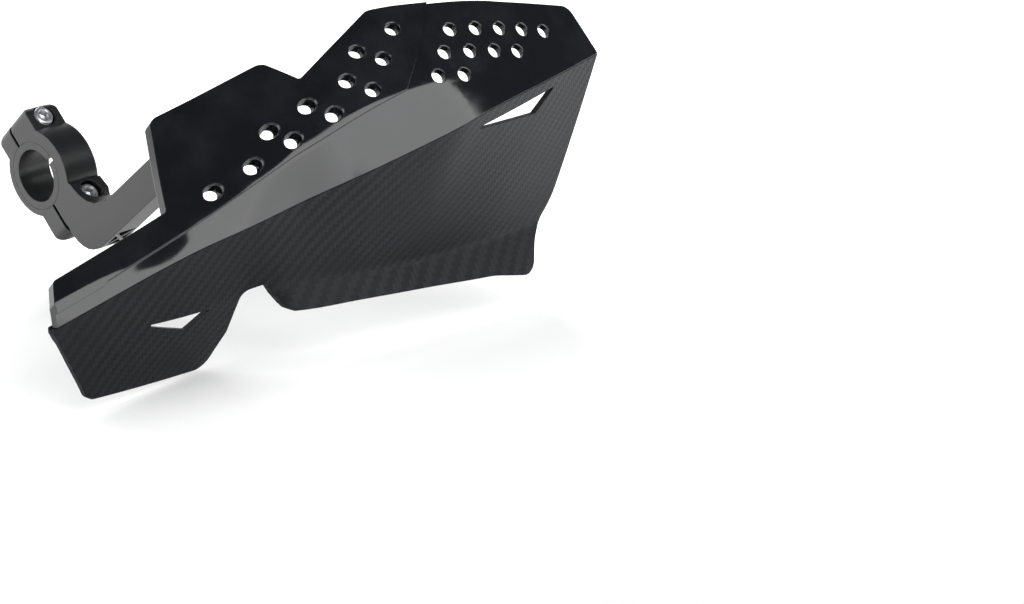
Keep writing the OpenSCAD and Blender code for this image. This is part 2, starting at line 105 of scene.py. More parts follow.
class NodeGraph:
    """Adds and joins the nodes of one shader tree."""

    NUMBER_INPUTS = (0, 2, 3)
    COLOUR_INPUTS = (0, 6, 7)
    COLOUR_OUTPUT = 2

    def __init__(self, tree: bpy.types.NodeTree) -> None:
        """Starts with an empty tree.

        Args:
            tree: the tree of a material or of the world.
        """
        self.tree = tree
        self.tree.nodes.clear()

    def add(self, kind: str, **props: object) -> bpy.types.Node:
        """Adds a node and sets its properties.

        Args:
            kind: Blender's name of the node type.
            props: properties of the node.

        Returns:
            The new node.
        """
        node = self.tree.nodes.new(kind)
        for key, value in props.items():
            setattr(node, key, value)
        return node

    def put(self, target: bpy.types.NodeSocket, value: object) -> None:
        """Links a socket or sets a plain value.

        Args:
            target: the input socket.
            value: another socket, or a number or colour.
        """
        if isinstance(value, bpy.types.NodeSocket):
            self.tree.links.new(value, target)
        else:
            target.default_value = value

    def fill(self, node: bpy.types.Node, values: Sequence[object],
             inputs: Optional[Sequence[int]] = None) -> bpy.types.Node:
        """Sets several inputs of a node.

        Args:
            node: the node.
            values: sockets or plain values.
            inputs: the inputs' numbers, or none for the first ones.

        Returns:
            The node.
        """
        for index, value in zip(inputs or range(len(values)), values):
            self.put(node.inputs[index], value)
        return node

    def math(self, operation: str, a: object, b: object = 0.0,
             clamp: bool = False) -> bpy.types.NodeSocket:
        """Adds a Math node.

        Args:
            operation: Blender's name of the operation.
            a: first value or socket.
            b: second value or socket.
            clamp: whether the result is held between 0 and 1.

        Returns:
            The result socket.
        """
        return self.fill(self.add("ShaderNodeMath", operation=operation, use_clamp=clamp),
                         (a, b)).outputs[0]

    def mix(self, factor: object, a: object, b: object) -> bpy.types.NodeSocket:
        """Mixes two numbers.

        Args:
            factor: share of b.
            a: first value or socket.
            b: second value or socket.

        Returns:
            The mixed value.
        """
        return self.fill(self.add("ShaderNodeMix", data_type="FLOAT"), (factor, a, b),
                         self.NUMBER_INPUTS).outputs[0]

    def tint(self, factor: object, a: Colour, b: Colour) -> bpy.types.NodeSocket:
        """Mixes two colours.

        Args:
            factor: share of the second colour.
            a: first colour.
            b: second colour.

        Returns:
            The mixed colour.
        """
        return self.fill(self.add("ShaderNodeMix", data_type="RGBA"),
                         (factor, (*a, 1.0), (*b, 1.0)),
                         self.COLOUR_INPUTS).outputs[self.COLOUR_OUTPUT]

    def ramp(self, value: object, low: float, high: float,
             out_low: float = 0.0, out_high: float = 1.0) -> bpy.types.NodeSocket:
        """Maps a range of values onto another, and holds it there.

        Args:
            value: the input.
            low: input at which the result is out_low.
            high: input at which the result is out_high.
            out_low: result at low.
            out_high: result at high.

        Returns:
            The mapped value.
        """
        return self.fill(self.add("ShaderNodeMapRange"),
                         (value, low, high, out_low, out_high)).outputs[0]

    def split(self, vector: bpy.types.NodeSocket) -> bpy.types.bpy_prop_collection:
        """Gives the three parts of a vector."""
        return self.fill(self.add("ShaderNodeSeparateXYZ"), (vector,)).outputs

    def rays(self) -> tuple[bpy.types.NodeSocket, bpy.types.NodeSocket]:
        """Tells the kinds of rays apart.

        Returns:
            Whether it is a camera ray, and whether a surface mirrors or refracts it.
        """
        path = self.add("ShaderNodeLightPath").outputs
        return path["Is Camera Ray"], self.math("MAXIMUM", path["Is Glossy Ray"],
                                                path["Is Transmission Ray"])


class Paint(NodeGraph):
    """The tree of one material, with its shader and the object's own coordinates."""

    def __init__(self, name: str) -> None:
        """Starts a material.

        Args:
            name: name of the material.
        """
        self.material = bpy.data.materials.new(name)
        self.material.use_nodes = True
        super().__init__(self.material.node_tree)
        self.output = self.add("ShaderNodeOutputMaterial")
        self.shader = self.add("ShaderNodeBsdfPrincipled")
        self.put(self.output.inputs["Surface"], self.shader.outputs["BSDF"])
        self.coords = self.add("ShaderNodeTexCoord").outputs["Object"]

    def base(self, metallic: float = 0.0, ior: float = 1.5, level: float = 0.5) -> None:
        """Sets the constants of the shader.

        Args:
            metallic: metallic share.
            ior: index of refraction.
            level: strength of the reflection, 0.5 as the index gives it.
        """
        self.shader.inputs["Specular IOR Level"].default_value = level
        self.shader.inputs["Metallic"].default_value = metallic
        self.shader.inputs["IOR"].default_value = ior

    def coat(self, colour: object, rough: object) -> None:
        """Gives the shader its colour and its roughness."""
        self.put(self.shader.inputs["Base Color"], colour)
        self.put(self.shader.inputs["Roughness"], rough)

    def noise(self, scale: float, detail: float = 3.0, rough: float = 0.5,
              stretch: Sequence[float] = (1.0, 1.0, 1.0)) -> bpy.types.NodeSocket:
        """Adds a noise pattern on Object coordinates.

        Args:
            scale: cells in a metre.
            detail: octaves.
            rough: share of the finer octaves.
            stretch: scale along each axis.

        Returns:
            The pattern, about 0 to 1.
        """
        mapping = self.add("ShaderNodeMapping")
        mapping.inputs["Scale"].default_value = tuple(scale * s for s in stretch)
        self.put(mapping.inputs["Vector"], self.coords)
        node = self.add("ShaderNodeTexNoise")
        node.inputs["Scale"].default_value = 1.0
        node.inputs["Detail"].default_value = detail
        node.inputs["Roughness"].default_value = rough
        self.put(node.inputs["Vector"], mapping.outputs[0])
        return node.outputs[0]

    def relief(self, height: object, depth: float, strength: float, edge: float) -> None:
        """Drives the shader's normal from a height, over softened edges.

        Args:
            height: the height pattern, 0 to 1.
            depth: height of the pattern in metres.
            strength: how much of it shows.
            edge: radius of the softened edges in metres.
        """
        bump = self.add("ShaderNodeBump")
        bump.inputs["Strength"].default_value = strength
        bump.inputs["Distance"].default_value = depth
        self.put(bump.inputs["Height"], height)
        soft = self.add("ShaderNodeBevel", samples=4)
        soft.inputs["Radius"].default_value = edge
        self.put(bump.inputs["Normal"], soft.outputs[0])
        self.put(self.shader.inputs["Normal"], bump.outputs[0])


@dataclass(frozen=True)
class GlossBlack:
    """Injection-moulded gloss black with faint haze and hairline scratches."""

    colour: Colour = (0.0035, 0.004, 0.005)
    haze: Colour = (0.009, 0.010, 0.012)
    haze_span: Point2 = (0.45, 0.8)
    rough: Point2 = (0.07, 0.15)
    rough_span: Point2 = (0.35, 0.75)
    cloud_cells: float = 38.0
    scratch_cells: float = 900.0
    scratch_stretch: Point3 = (0.06, 1.0, 1.0)
    scratch_span: Point2 = (0.62, 0.75)
    scratch_rough: float = 0.06
    ripple_cells: float = 120.0
    ripple: float = 0.04 * MM
    ripple_share: float = 0.35
    edge: float = 0.45 * MM

    def build(self) -> bpy.types.Material:
        """Builds the material.

        Returns:
            The finished material.
        """
        g = Paint("gloss_black_moulding")
        g.base()
        cloud = g.noise(self.cloud_cells, detail=4.0, rough=0.6)
        scratch = g.noise(self.scratch_cells, detail=2.0, rough=0.4, stretch=self.scratch_stretch)
        g.coat(g.tint(g.ramp(cloud, *self.haze_span), self.colour, self.haze),
               g.math("ADD", g.ramp(cloud, *self.rough_span, *self.rough),
                      g.ramp(scratch, *self.scratch_span, 0.0, self.scratch_rough)))
        g.relief(g.noise(self.ripple_cells, detail=2.0), self.ripple, self.ripple_share, self.edge)
        return g.material


@dataclass(frozen=True)
class CarbonTwill:
    """Matte moulding embossed with a two-by-two twill, coarser on the lip."""

    tow: float = 1.5 * MM
    lip_tow: float = 2.5 * MM
    slant: float = 0.8
    repeat: float = 4.0
    over: float = 2.0
    bow: float = 2.6
    sunk: float = 0.55
    # The tint runs from dark to light: the floats' painted sheen and the random grain push it
    # towards light
    dark: Colour = (0.0035, 0.0038, 0.0045)
    light: Colour = (0.016, 0.017, 0.0195)
    rough: Point2 = (0.56, 0.42)
    ior: float = 1.46
    shine: float = 0.12
    lip_tilt: Point2 = (-0.02, 0.06)
    # Random fade of the floats' painted sheen and of the relief, standing in for light that falls
    # unevenly on the panel: cells, span and least value
    sheen_and_relief_fade_cells: float = 26.0
    sheen_and_relief_fade_span: Point2 = (0.35, 0.62)
    sheen_and_relief_fade_least: float = 0.45
    grain_cells: float = 2600.0
    # Painted sheen: how much lighter the upright floats are painted, as if light caught the tows
    # that run one way
    float_sheen_tone: float = 0.42
    grain_tone: float = 0.22
    grain_height: float = 0.12
    depth: float = 0.22 * MM
    depth_share: float = 0.6
    edge: float = 0.5 * MM

    def weave(self, g: Paint, tow: float) -> tuple[bpy.types.NodeSocket, bpy.types.NodeSocket]:
        """Lays one twill of a given tow width.

        Args:
            g: the material's graph.
            tow: width of a tow in metres.

        Returns:
            Mask of the upright floats, and the height of the cloth.
        """
        axes = g.split(g.coords)
        u = g.math("DIVIDE", axes["X"], tow * self.slant)
        v = g.math("DIVIDE", axes["Z"], tow)
        step = g.math("SUBTRACT", g.math("FLOOR", u), g.math("FLOOR", v))
        upright = g.math("LESS_THAN", g.math("FLOORED_MODULO", step, self.repeat), self.over - 0.5)
        bows = []
        for value in (u, v):
            across = g.math("ABSOLUTE", g.math("SUBTRACT", g.math("FRACT", value), 0.5))
            drop = g.math("MULTIPLY", g.math("POWER", across, 2.0), self.bow)
            bows.append(g.math("SUBTRACT", 1.0, drop))
        return upright, g.mix(upright, g.math("MULTIPLY", bows[1], self.sunk), bows[0])

    def build(self) -> bpy.types.Material:
        """Builds the material.

        Returns:
            The finished material.
        """
        g = Paint("matte_embossed_twill")
        g.base(ior=self.ior, level=self.shine)
        fine_mask, fine_height = self.weave(g, self.tow)
        wide_mask, wide_height = self.weave(g, self.lip_tow)
        tilt = g.split(g.add("ShaderNodeNewGeometry").outputs["True Normal"])
        lip = g.ramp(tilt["Z"], *self.lip_tilt)
        mask = g.mix(lip, fine_mask, wide_mask)
        height = g.mix(lip, fine_height, wide_height)
        # Painted light: a random fade dims the floats' painted sheen and the relief, standing in
        # for light that falls unevenly on the panel
        sheen_and_relief_fade = g.ramp(g.noise(self.sheen_and_relief_fade_cells, rough=0.6), *self.sheen_and_relief_fade_span, self.sheen_and_relief_fade_least, 1.0)
        grain = g.noise(self.grain_cells, detail=2.0, rough=0.6)
        # Painted sheen: the upright floats are tinted towards the lighter colour; the fine grain
        # adds real tone
        tone = g.math("MULTIPLY", mask, g.math("MULTIPLY", sheen_and_relief_fade, self.float_sheen_tone))
        tone = g.math("ADD", tone, g.math("MULTIPLY", grain, self.grain_tone), clamp=True)
        g.coat(g.tint(tone, self.dark, self.light), g.mix(tone, *self.rough))
        cloth = g.math("ADD", g.math("MULTIPLY", height, sheen_and_relief_fade),
                       g.math("MULTIPLY", grain, self.grain_height))
        g.relief(cloth, self.depth, self.depth_share, self.edge)
        return g.material


@dataclass(frozen=True)
class SatinNylon:
    """Glass-filled nylon: satin, fine-grained and a little mottled."""

    name: str = "satin_nylon"
    colour: Colour = (0.007, 0.0073, 0.008)
    pale: Colour = (0.011, 0.0115, 0.0125)
    rough: float = 0.24
    shine: float = 0.62
    pale_span: Point2 = (0.35, 0.7)
    cloud_cells: float = 70.0
    grain_cells: float = 1800.0
    grain_rough: float = 0.12
    grain_height: float = 0.05 * MM
    grain_share: float = 0.5
    edge: float = 0.6 * MM

    def build(self) -> bpy.types.Material:
        """Builds the material.

        Returns:
            The finished material.
        """
        g = Paint(self.name)
        g.base(level=self.shine)
        cloud = g.noise(self.cloud_cells, detail=4.0, rough=0.6)
        grain = g.noise(self.grain_cells, rough=0.6)
        g.coat(g.tint(g.ramp(cloud, *self.pale_span), self.colour, self.pale),
               g.math("ADD", self.rough, g.math("MULTIPLY", grain, self.grain_rough)))
        g.relief(grain, self.grain_height, self.grain_share, self.edge)
        return g.material


@dataclass(frozen=True)
class PlatedMetal:
    """Turned or rolled metal with a plated skin and fine marks."""

    name: str
    colour: Colour
    stain: Colour
    rough: float = 0.24
    ior: float = 2.5
    stain_span: Point2 = (0.4, 0.75)
    rough_span: Point2 = (0.3, 0.7)
    stain_rough: float = 0.14
    cloud_cells: float = 420.0
    mark_cells: float = 3000.0
    mark_stretch: Point3 = (1.0, 0.15, 1.0)
    mark_rough: float = 0.06
    mark_depth: float = 0.02 * MM
    mark_share: float = 0.4
    edge: float = 0.12 * MM

    def build(self) -> bpy.types.Material:
        """Builds the material.

        Returns:
            The finished material.
        """
        g = Paint(self.name)
        g.base(metallic=1.0, ior=self.ior)
        cloud = g.noise(self.cloud_cells, rough=0.55)
        marks = g.noise(self.mark_cells, detail=2.0, stretch=self.mark_stretch)
        g.coat(g.tint(g.ramp(cloud, *self.stain_span), self.colour, self.stain),
               g.math("ADD", g.ramp(cloud, *self.rough_span, self.rough,
                                    self.rough + self.stain_rough),
                      g.math("MULTIPLY", marks, self.mark_rough)))
        g.relief(marks, self.mark_depth, self.mark_share, self.edge)
        return g.material


RECIPES = {
    Finish.GLOSS: GlossBlack(),
    Finish.CARBON: CarbonTwill(),
    Finish.NYLON: SatinNylon(),
    Finish.SHIM: SatinNylon("satin_shim", (0.008, 0.0085, 0.009), (0.014, 0.0145, 0.016), 0.28),
    Finish.STEEL: PlatedMetal("zinc_plated_steel", (0.66, 0.67, 0.69), (0.50, 0.50, 0.50)),
    Finish.BLACK_OXIDE: PlatedMetal("black_oxide_steel", (0.045, 0.045, 0.05),
                                    (0.02, 0.02, 0.022), 0.34),
    Finish.BRASS: PlatedMetal("turned_brass", (0.78, 0.58, 0.24), (0.55, 0.38, 0.14), 0.3),
}


@dataclass
class FinishShelf:
    """Builds each finish once and hands it out."""

    made: dict[Finish, bpy.types.Material] = field(default_factory=dict)

    def get(self, finish: Finish) -> bpy.types.Material:
        """Gives a finish's material.

        Args:
            finish: the finish.

        Returns:
            Its material.
        """
        if finish not in self.made:
            self.made[finish] = RECIPES[finish].build()
        return self.made[finish]


# Mesh tools


def link(name: str, data: bpy.types.ID) -> bpy.types.Object:
    """Puts a mesh, a lamp or a camera in the scene as an object at the origin.

    Args:
        name: name of the object.
        data: its mesh, lamp or camera.

    Returns:
        The object.
    """
    obj = bpy.data.objects.new(name, data)
    bpy.context.scene.collection.objects.link(obj)
    return obj


def mesh_from(name: str, verts: Iterable[Sequence[float]],
              faces: Iterable[Sequence[int]]) -> bpy.types.Mesh:
    """Makes a mesh whose points are given in millimetres.

    Args:
        name: name of the mesh.
        verts: points in millimetres.
        faces: corner indices of each face.

    Returns:
        The mesh in metres, its faces pointing outwards.
    """
    mesh = bpy.data.meshes.new(name)
    mesh.from_pydata([tuple(float(c) * MM for c in v) for v in verts], [], list(faces))
    bm = bmesh.new()
    bm.from_mesh(mesh)
    bmesh.ops.recalc_face_normals(bm, faces=bm.faces)
    bm.to_mesh(mesh)
    bm.free()
    return mesh


def baked(obj: bpy.types.Object) -> bpy.types.Object:
    """Turns an object's live modifiers into its plain mesh.

    Args:
        obj: the object.

    Returns:
        The same object, without modifiers.
    """
    graph = bpy.context.evaluated_depsgraph_get()
    mesh = bpy.data.meshes.new_from_object(obj.evaluated_get(graph))
    obj.modifiers.clear()
    obj.data = mesh
    return obj


def combine(obj: bpy.types.Object, tool: bpy.types.Object, meet: Meet) -> None:
    """Cuts an object with a tool, joins them or keeps their common part, and removes the tool.

    Args:
        obj: the object that is kept.
        tool: the other object.
        meet: what becomes of the two.
    """
    before, faces = obj.data, len(obj.data.polygons)
    for solver in ("MANIFOLD", "EXACT"):
        mod = obj.modifiers.new("combine", "BOOLEAN")
        mod.operation, mod.solver, mod.object = meet.value, solver, tool
        bpy.context.view_layer.update()
        baked(obj)
        if len(obj.data.polygons) not in (0, faces):
            break
        LOG.warning("%s: %s left it unchanged", obj.name, solver)
        obj.data = before
    bpy.data.objects.remove(tool)


def corner_arc(before: Point2, corner: Point2, after: Point2, radius: float) -> list[Point2]:
    """Rounds one corner of an outline, with no more than CORNER_SHARE of either side.

    Args:
        before: the corner before it.
        corner: the corner.
        after: the corner after it.
        radius: its radius in millimetres.

    Returns:
        Points of the arc.
    """
    a, p, b = (np.array(q, float) for q in (before, corner, after))
    u = (a - p) / np.linalg.norm(a - p)
    v = (b - p) / np.linalg.norm(b - p)
    half = math.acos(max(-1.0, min(1.0, float(u @ v)))) / 2
    reach = min(radius / math.tan(half), float(np.linalg.norm(a - p)) * CORNER_SHARE,
                float(np.linalg.norm(b - p)) * CORNER_SHARE)
    true_radius = reach * math.tan(half)
    bisector = (u + v) / np.linalg.norm(u + v)
    centre = p + bisector * (true_radius / math.sin(half))
    start, end = p + u * reach - centre, p + v * reach - centre
    turn = math.atan2(start[0] * end[1] - start[1] * end[0], float(start @ end))
    steps = max(1, math.ceil(abs(math.degrees(turn)) / ARC_STEP))
    arc = []
    for k in range(steps + 1):
        w = turn * k / steps
        arc.append((float(centre[0] + start[0] * math.cos(w) - start[1] * math.sin(w)),
                    float(centre[1] + start[0] * math.sin(w) + start[1] * math.cos(w))))
    return arc


def rounded(points: Sequence[Point3]) -> list[Point2]:
    """Rounds an outline whose third value is each corner's radius.

    Args:
        points: corners with their radii.

    Returns:
        The rounded outline.
    """
    n = len(points)
    outline: list[Point2] = []
    for i, p in enumerate(points):
        outline += corner_arc(points[i - 1][:2], p[:2], points[(i + 1) % n][:2], p[2])
    return outline


def prism(name: str, outline: Sequence[Point2], place: Callable[[float, float, float], Vector],
          low: float, high: float) -> bpy.types.Object:
    """Makes a prism from an outline.

    Args:
        name: name of the object.
        outline: its outline.
        place: gives the point for two outline values and a height.
        low: first height.
        high: second height.

    Returns:
        The prism as an object.
    """
    n = len(outline)
    verts = [place(x, y, h) for h in (low, high) for x, y in outline]
    faces: list[list[int]] = [list(range(n)), [n + k for k in reversed(range(n))]]
    faces += [[k, n + k, n + (k + 1) % n, (k + 1) % n] for k in range(n)]
    return link(name, mesh_from(name, verts, faces))


def lathe(name: str, profile: Sequence[Point2], sides: int = 40) -> bpy.types.Mesh:
    """Turns a profile of radius and height round the Z axis.

    Args:
        name: name of the mesh.
        profile: radii and heights from one end of the axis to the other.
        sides: number of sides.

    Returns:
        The closed mesh.
    """
    verts: list[Point3] = []
    rings: list[list[int]] = []
    for radius, height in profile:
        if radius == 0:
            rings.append([len(verts)])
            verts.append((0.0, 0.0, height))
            continue
        rings.append(list(range(len(verts), len(verts) + sides)))
        for k in range(sides):
            w = 2 * math.pi * k / sides
            verts.append((radius * math.cos(w), radius * math.sin(w), height))
    faces: list[list[int]] = []
    for a, b in zip(rings, rings[1:]):
        for k in range(sides):
            m = (k + 1) % sides
            if len(a) == 1:
                faces.append([a[0], b[m], b[k]])
            elif len(b) == 1:
                faces.append([a[k], a[m], b[0]])
            else:
                faces.append([a[k], a[m], b[m], b[k]])
    return mesh_from(name, verts, faces)


def draw_place(x: float, across: float, depth: float) -> Vector:
    """Gives the point for a place in the visor's draw frame, in millimetres."""
    return Vector((x, across * math.cos(DRAW_TILT) - depth * math.sin(DRAW_TILT),
                   across * math.sin(DRAW_TILT) + depth * math.cos(DRAW_TILT)))


def front_place(x: float, z: float, depth: float) -> Vector:
    """Gives the point for a place seen from the front, in millimetres."""
    return Vector((x, -depth, z))


class InstanceTree:
    """Geometry Nodes tree that sets a prototype on every point along its axis."""

    def __init__(self, name: str) -> None:
        """Builds the tree.

        Args:
            name: name of the tree.
        """
        self.tree = bpy.data.node_groups.new(name, "GeometryNodeTree")
        face = self.tree.interface
        kinds = {"Geometry": "NodeSocketGeometry", "Prototype": "NodeSocketObject",
                 "Spin": "NodeSocketFloat", "Material": "NodeSocketMaterial"}
        self.sockets = {label: face.new_socket(label, in_out="INPUT", socket_type=kind).identifier
                        for label, kind in kinds.items()}
        face.new_socket("Geometry", in_out="OUTPUT", socket_type="NodeSocketGeometry")
        nodes = self.tree.nodes
        start, end = nodes.new("NodeGroupInput").outputs, nodes.new("NodeGroupOutput").inputs
        model = nodes.new("GeometryNodeObjectInfo")
        axis = nodes.new("GeometryNodeInputNamedAttribute")
        axis.data_type = "FLOAT_VECTOR"
        axis.inputs["Name"].default_value = "axis"
        turn = nodes.new("ShaderNodeCombineXYZ")
        aim = nodes.new("FunctionNodeAlignEulerToVector")
        aim.axis = "Z"
        place = nodes.new("GeometryNodeInstanceOnPoints")
        real = nodes.new("GeometryNodeRealizeInstances")
        dress = nodes.new("GeometryNodeSetMaterial")
        for source, target in (
                (start["Prototype"], model.inputs["Object"]),
                (start["Geometry"], place.inputs["Points"]),
                (model.outputs["Geometry"], place.inputs["Instance"]),
                (start["Spin"], turn.inputs["Z"]),
                (turn.outputs[0], aim.inputs["Rotation"]),
                (axis.outputs["Attribute"], aim.inputs["Vector"]),
                (aim.outputs[0], place.inputs["Rotation"]),
                (place.outputs[0], real.inputs[0]),
                (real.outputs[0], dress.inputs["Geometry"]),
                (start["Material"], dress.inputs["Material"]),
                (dress.outputs[0], end[0])):
            self.tree.links.new(source, target)

    def spread(self, name: str, proto: bpy.types.Mesh, places: Sequence[tuple[Vector, Vector]],
               paint: Optional[bpy.types.Material] = None, spin: float = 0.0) -> bpy.types.Object:
        """Sets a prototype at each place and returns one plain object.

        Args:
            name: name of the object.
            proto: the prototype's mesh, its axis along Z.
            places: pairs of a point in millimetres and an axis.
            paint: material of the result.
            spin: turn about the axis in radians.

        Returns:
            The object with a plain mesh.
        """
        model = link(name + "_prototype", proto)
        points = bpy.data.meshes.new(name + "_points")
        points.from_pydata([tuple(p * MM) for p, _ in places], [], [])
        store = points.attributes.new("axis", "FLOAT_VECTOR", "POINT")
        store.data.foreach_set("vector", [c for _, a in places for c in a])
        obj = link(name, points)
        mod = obj.modifiers.new("spread", "NODES")
        mod.node_group = self.tree
        mod[self.sockets["Prototype"]] = model
        mod[self.sockets["Spin"]] = spin
        if paint:
            mod[self.sockets["Material"]] = paint
        bpy.context.view_layer.update()
        baked(obj)
        bpy.data.objects.remove(model)
        return obj


def weld_slivers(mesh: bpy.types.Mesh, reach: float = 5e-6) -> None:
    """Joins corners that lie too near each other to stay apart in an export.

    Args:
        mesh: the mesh that is changed.
        reach: the largest gap that is closed, in metres.
    """
    bm = bmesh.new()
    bm.from_mesh(mesh)
    bmesh.ops.remove_doubles(bm, verts=bm.verts, dist=reach)
    bmesh.ops.dissolve_degenerate(bm, edges=bm.edges, dist=reach)
    bm.to_mesh(mesh)
    bm.free()


def finish_piece(obj: bpy.types.Object, paint: bpy.types.Material, slot: Finish,
                 replaced: Sequence[str] = (), smooth: float = 32.0,
                 weigh: bool = False) -> bpy.types.Object:
    """Gives a piece its material, shading and body.

    Args:
        obj: the piece.
        paint: its material.
        slot: the record's slot; not used.
        replaced: the frame's nodes it stands for.
        smooth: largest angle that is shaded smooth, in degrees.
        weigh: whether larger faces lead the shading at narrow bends.

    Returns:
        The piece.
    """
    if weigh:
        weld_slivers(obj.data)
    obj.data.materials.clear()
    obj.data.materials.append(paint)
    obj.data.polygons.foreach_set("material_index", [0] * len(obj.data.polygons))
    obj.data.shade_smooth()
    obj.data.set_sharp_from_angle(angle=math.radians(smooth))
    if weigh:
        mod = obj.modifiers.new("weigh", "WEIGHTED_NORMAL")
        mod.mode, mod.weight, mod.keep_sharp = "FACE_AREA", 50, True
        bpy.context.view_layer.update()
        baked(obj)
    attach(obj, "root")
    if replaced:
        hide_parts(*replaced)
    LOG.info("%s: %d faces", obj.name, len(obj.data.polygons))
    return obj


# Shield


@dataclass(frozen=True)
class ShieldForm:
    """Outer surface of the shield, from sections along the bar. Sizes in millimetres."""

    x: tuple[float, ...] = (-92, -38, -14, 2, 32, 62, 102, 146)
    crease_y: tuple[float, ...] = (-107.5, -123, -134.5, -142.5, -156.5, -165, -169, -171.5)
    crease_z: tuple[float, ...] = (-11, 9.5, 23, 32.5, 47.5, 53, 56.5, 55)
    slope: tuple[float, ...] = (1.3, 1.25, 0.95, 0.75, 1.0, 0.8, 0.77, 0.67)
    flare: tuple[float, ...] = (0, -0.005, 0.01, 0.02, 0.015, 0.01, 0, 0)
    ridge_y: tuple[float, ...] = (-107.5, -128.5, -134, -138, -160, -176.5, -178, -175)
    ridge_z: tuple[float, ...] = (-19, 2, 7, 11, 25.5, 38.5, 45, 49.5)
    lip_y: tuple[float, ...] = (-106, -122, -125, -134, -143, -148, -157, -160)
    lip_z: tuple[float, ...] = (-40, -24, -22, -21, -22, -24, -22, -20)
    foot_y: tuple[float, ...] = (-108, -109, -109, -137, -145.5, -153, -162, -163)
    foot_z: tuple[float, ...] = (-52, -52, -52, -31, -33.5, -35, -37, -38)
    wall: float = 2.4
    seam: float = 0.3
    flange: float = 2.4
    flange_end: float = 0.4
    flange_from: float = -88.0
    flange_run: float = 14.0
    crease_r: float = 2.5
    crown: float = 0.12
    crown_share: float = 0.045
    bridge: float = 5.0
    foot_share: float = 0.35
    column: float = 2.0
    top: float = 46.0
    straight: float = 6.0
    visor_steps: int = 15
    band_steps: int = 4
    panel_steps: int = 14
    lip_steps: int = 4

    def at(self, values: Sequence[float], x: float) -> float:
        """Gives a smooth value between the stations.

        Args:
            values: one value for each station.
            x: place along the bar.

        Returns:
            The value there.
        """
        k = min(max(int(np.searchsorted(self.x, x)) - 1, 0), len(self.x) - 2)
        h = self.x[k + 1] - self.x[k]
        t = (x - self.x[k]) / h
        return ((2 * t ** 3 - 3 * t ** 2 + 1) * values[k]
                + (t ** 3 - 2 * t ** 2 + t) * h * self.tangent(values, k)
                + (3 * t ** 2 - 2 * t ** 3) * values[k + 1]
                + (t ** 3 - t ** 2) * h * self.tangent(values, k + 1))

    def tangent(self, values: Sequence[float], k: int) -> float:
        """Gives the slope at a station, flat where the values turn back.

        Args:
            values: one value for each station.
            k: the station's number.

        Returns:
            The slope there.
        """
        slopes = [(values[i + 1] - values[i]) / (self.x[i + 1] - self.x[i])
                  for i in (k - 1, k) if 0 <= i < len(self.x) - 1]
        if len(slopes) == 1:
            return slopes[0]
        a, b = slopes
        return 0.0 if a * b <= 0 else 2 * a * b / (a + b)

    def line(self, y: Sequence[float], z: Sequence[float], x: float) -> np.ndarray:
        """Gives the point of one of the form's lines."""
        return np.array([x, self.at(y, x), self.at(z, x)])

    def crease(self, x: float) -> np.ndarray:
        """Gives the crease between the visor and the band."""
        return self.line(self.crease_y, self.crease_z, x)

    def ridge(self, x: float) -> np.ndarray:
        """Gives the ridge between the band and the panel."""
        return self.line(self.ridge_y, self.ridge_z, x)

    def lip(self, x: float) -> np.ndarray:
        """Gives the crease above the lip."""
        return self.line(self.lip_y, self.lip_z, x)

    def foot(self, x: float) -> np.ndarray:
        """Gives the lower edge."""
        return self.line(self.foot_y, self.foot_z, x)

    def visor(self, x: float, h: float) -> np.ndarray:
        """Gives a point of the visor at a height above its crease."""
        back = self.at(self.slope, x) * h + self.at(self.flare, x) * h * h
        return self.crease(x) + np.array([0.0, back, h])

    @staticmethod
    def bend(a: np.ndarray, p: np.ndarray, b: np.ndarray, reach: float,
             steps: int = 5) -> list[np.ndarray]:
        """Rounds a corner of a section.

        Args:
            a: a point before the corner.
            p: the corner.
            b: a point after it.
            reach: distance from the corner at which the bend starts and ends.
            steps: number of pieces.

        Returns:
            Points of the bend.
        """
        s = p + (a - p) / np.linalg.norm(a - p) * reach
        e = p + (b - p) / np.linalg.norm(b - p) * reach
        points = []
        for k in range(steps + 1):
            t = k / steps
            points.append(s * (1 - t) ** 2 + p * 2 * t * (1 - t) + e * t * t)
        return points

    def upper_rows(self, x: float) -> list[np.ndarray]:
        """Gives the section of the upper shell.

        Args:
            x: place along the bar.

        Returns:
            Points from the back edge to the ridge.
        """
        heights = [self.top + (self.straight - self.top) * k / self.visor_steps
                   for k in range(self.visor_steps + 1)]
        rows = [self.visor(x, h) for h in heights]
        rows += self.bend(rows[-1], self.crease(x), self.ridge(x), self.crease_r)
        near, end = rows[-1], self.ridge(x)
        down = end - near
        width = float(np.linalg.norm(down))
        crown = min(self.crown, self.crown_share * width)
        out = np.array([0.0, down[2], -down[1]]) / width * crown
        shares = [k / self.band_steps for k in range(1, self.band_steps)]
        return rows + [near + down * t + out * 4 * t * (1 - t) for t in shares] + [end]

    def lower_rows(self, x: float) -> list[np.ndarray]:
        """Gives the section of the front panel.

        Args:
            x: place along the bar.

        Returns:
            Points from the seam to below the foot.
        """
        ridge, lip, foot = self.ridge(x), self.lip(x), self.foot(x)
        down = (lip - ridge) / np.linalg.norm(lip - ridge)
        seam = ridge + down * self.seam
        rows = [seam, ridge + down * self.bridge, ridge + down * (self.bridge + self.wall)]
        low = foot + (foot - lip) * self.foot_share
        bent = self.bend(rows[-1], lip, low, self.crease_r)
        start = rows[-1]
        rows += [start + (bent[0] - start) * k / self.panel_steps
                 for k in range(1, self.panel_steps)]
        rows += bent
        rows += [bent[-1] + (low - bent[-1]) * k / self.lip_steps
                 for k in range(1, self.lip_steps + 1)]
        return rows

    def columns(self) -> np.ndarray:
        """Gives the places of the columns along the bar.

        Returns:
            Evenly spaced places, from one step before the first station to the last.
        """
        start = self.x[0] - self.column
        count = math.ceil((self.x[-1] - start) / self.column)
        return np.linspace(start, self.x[-1], count + 1)

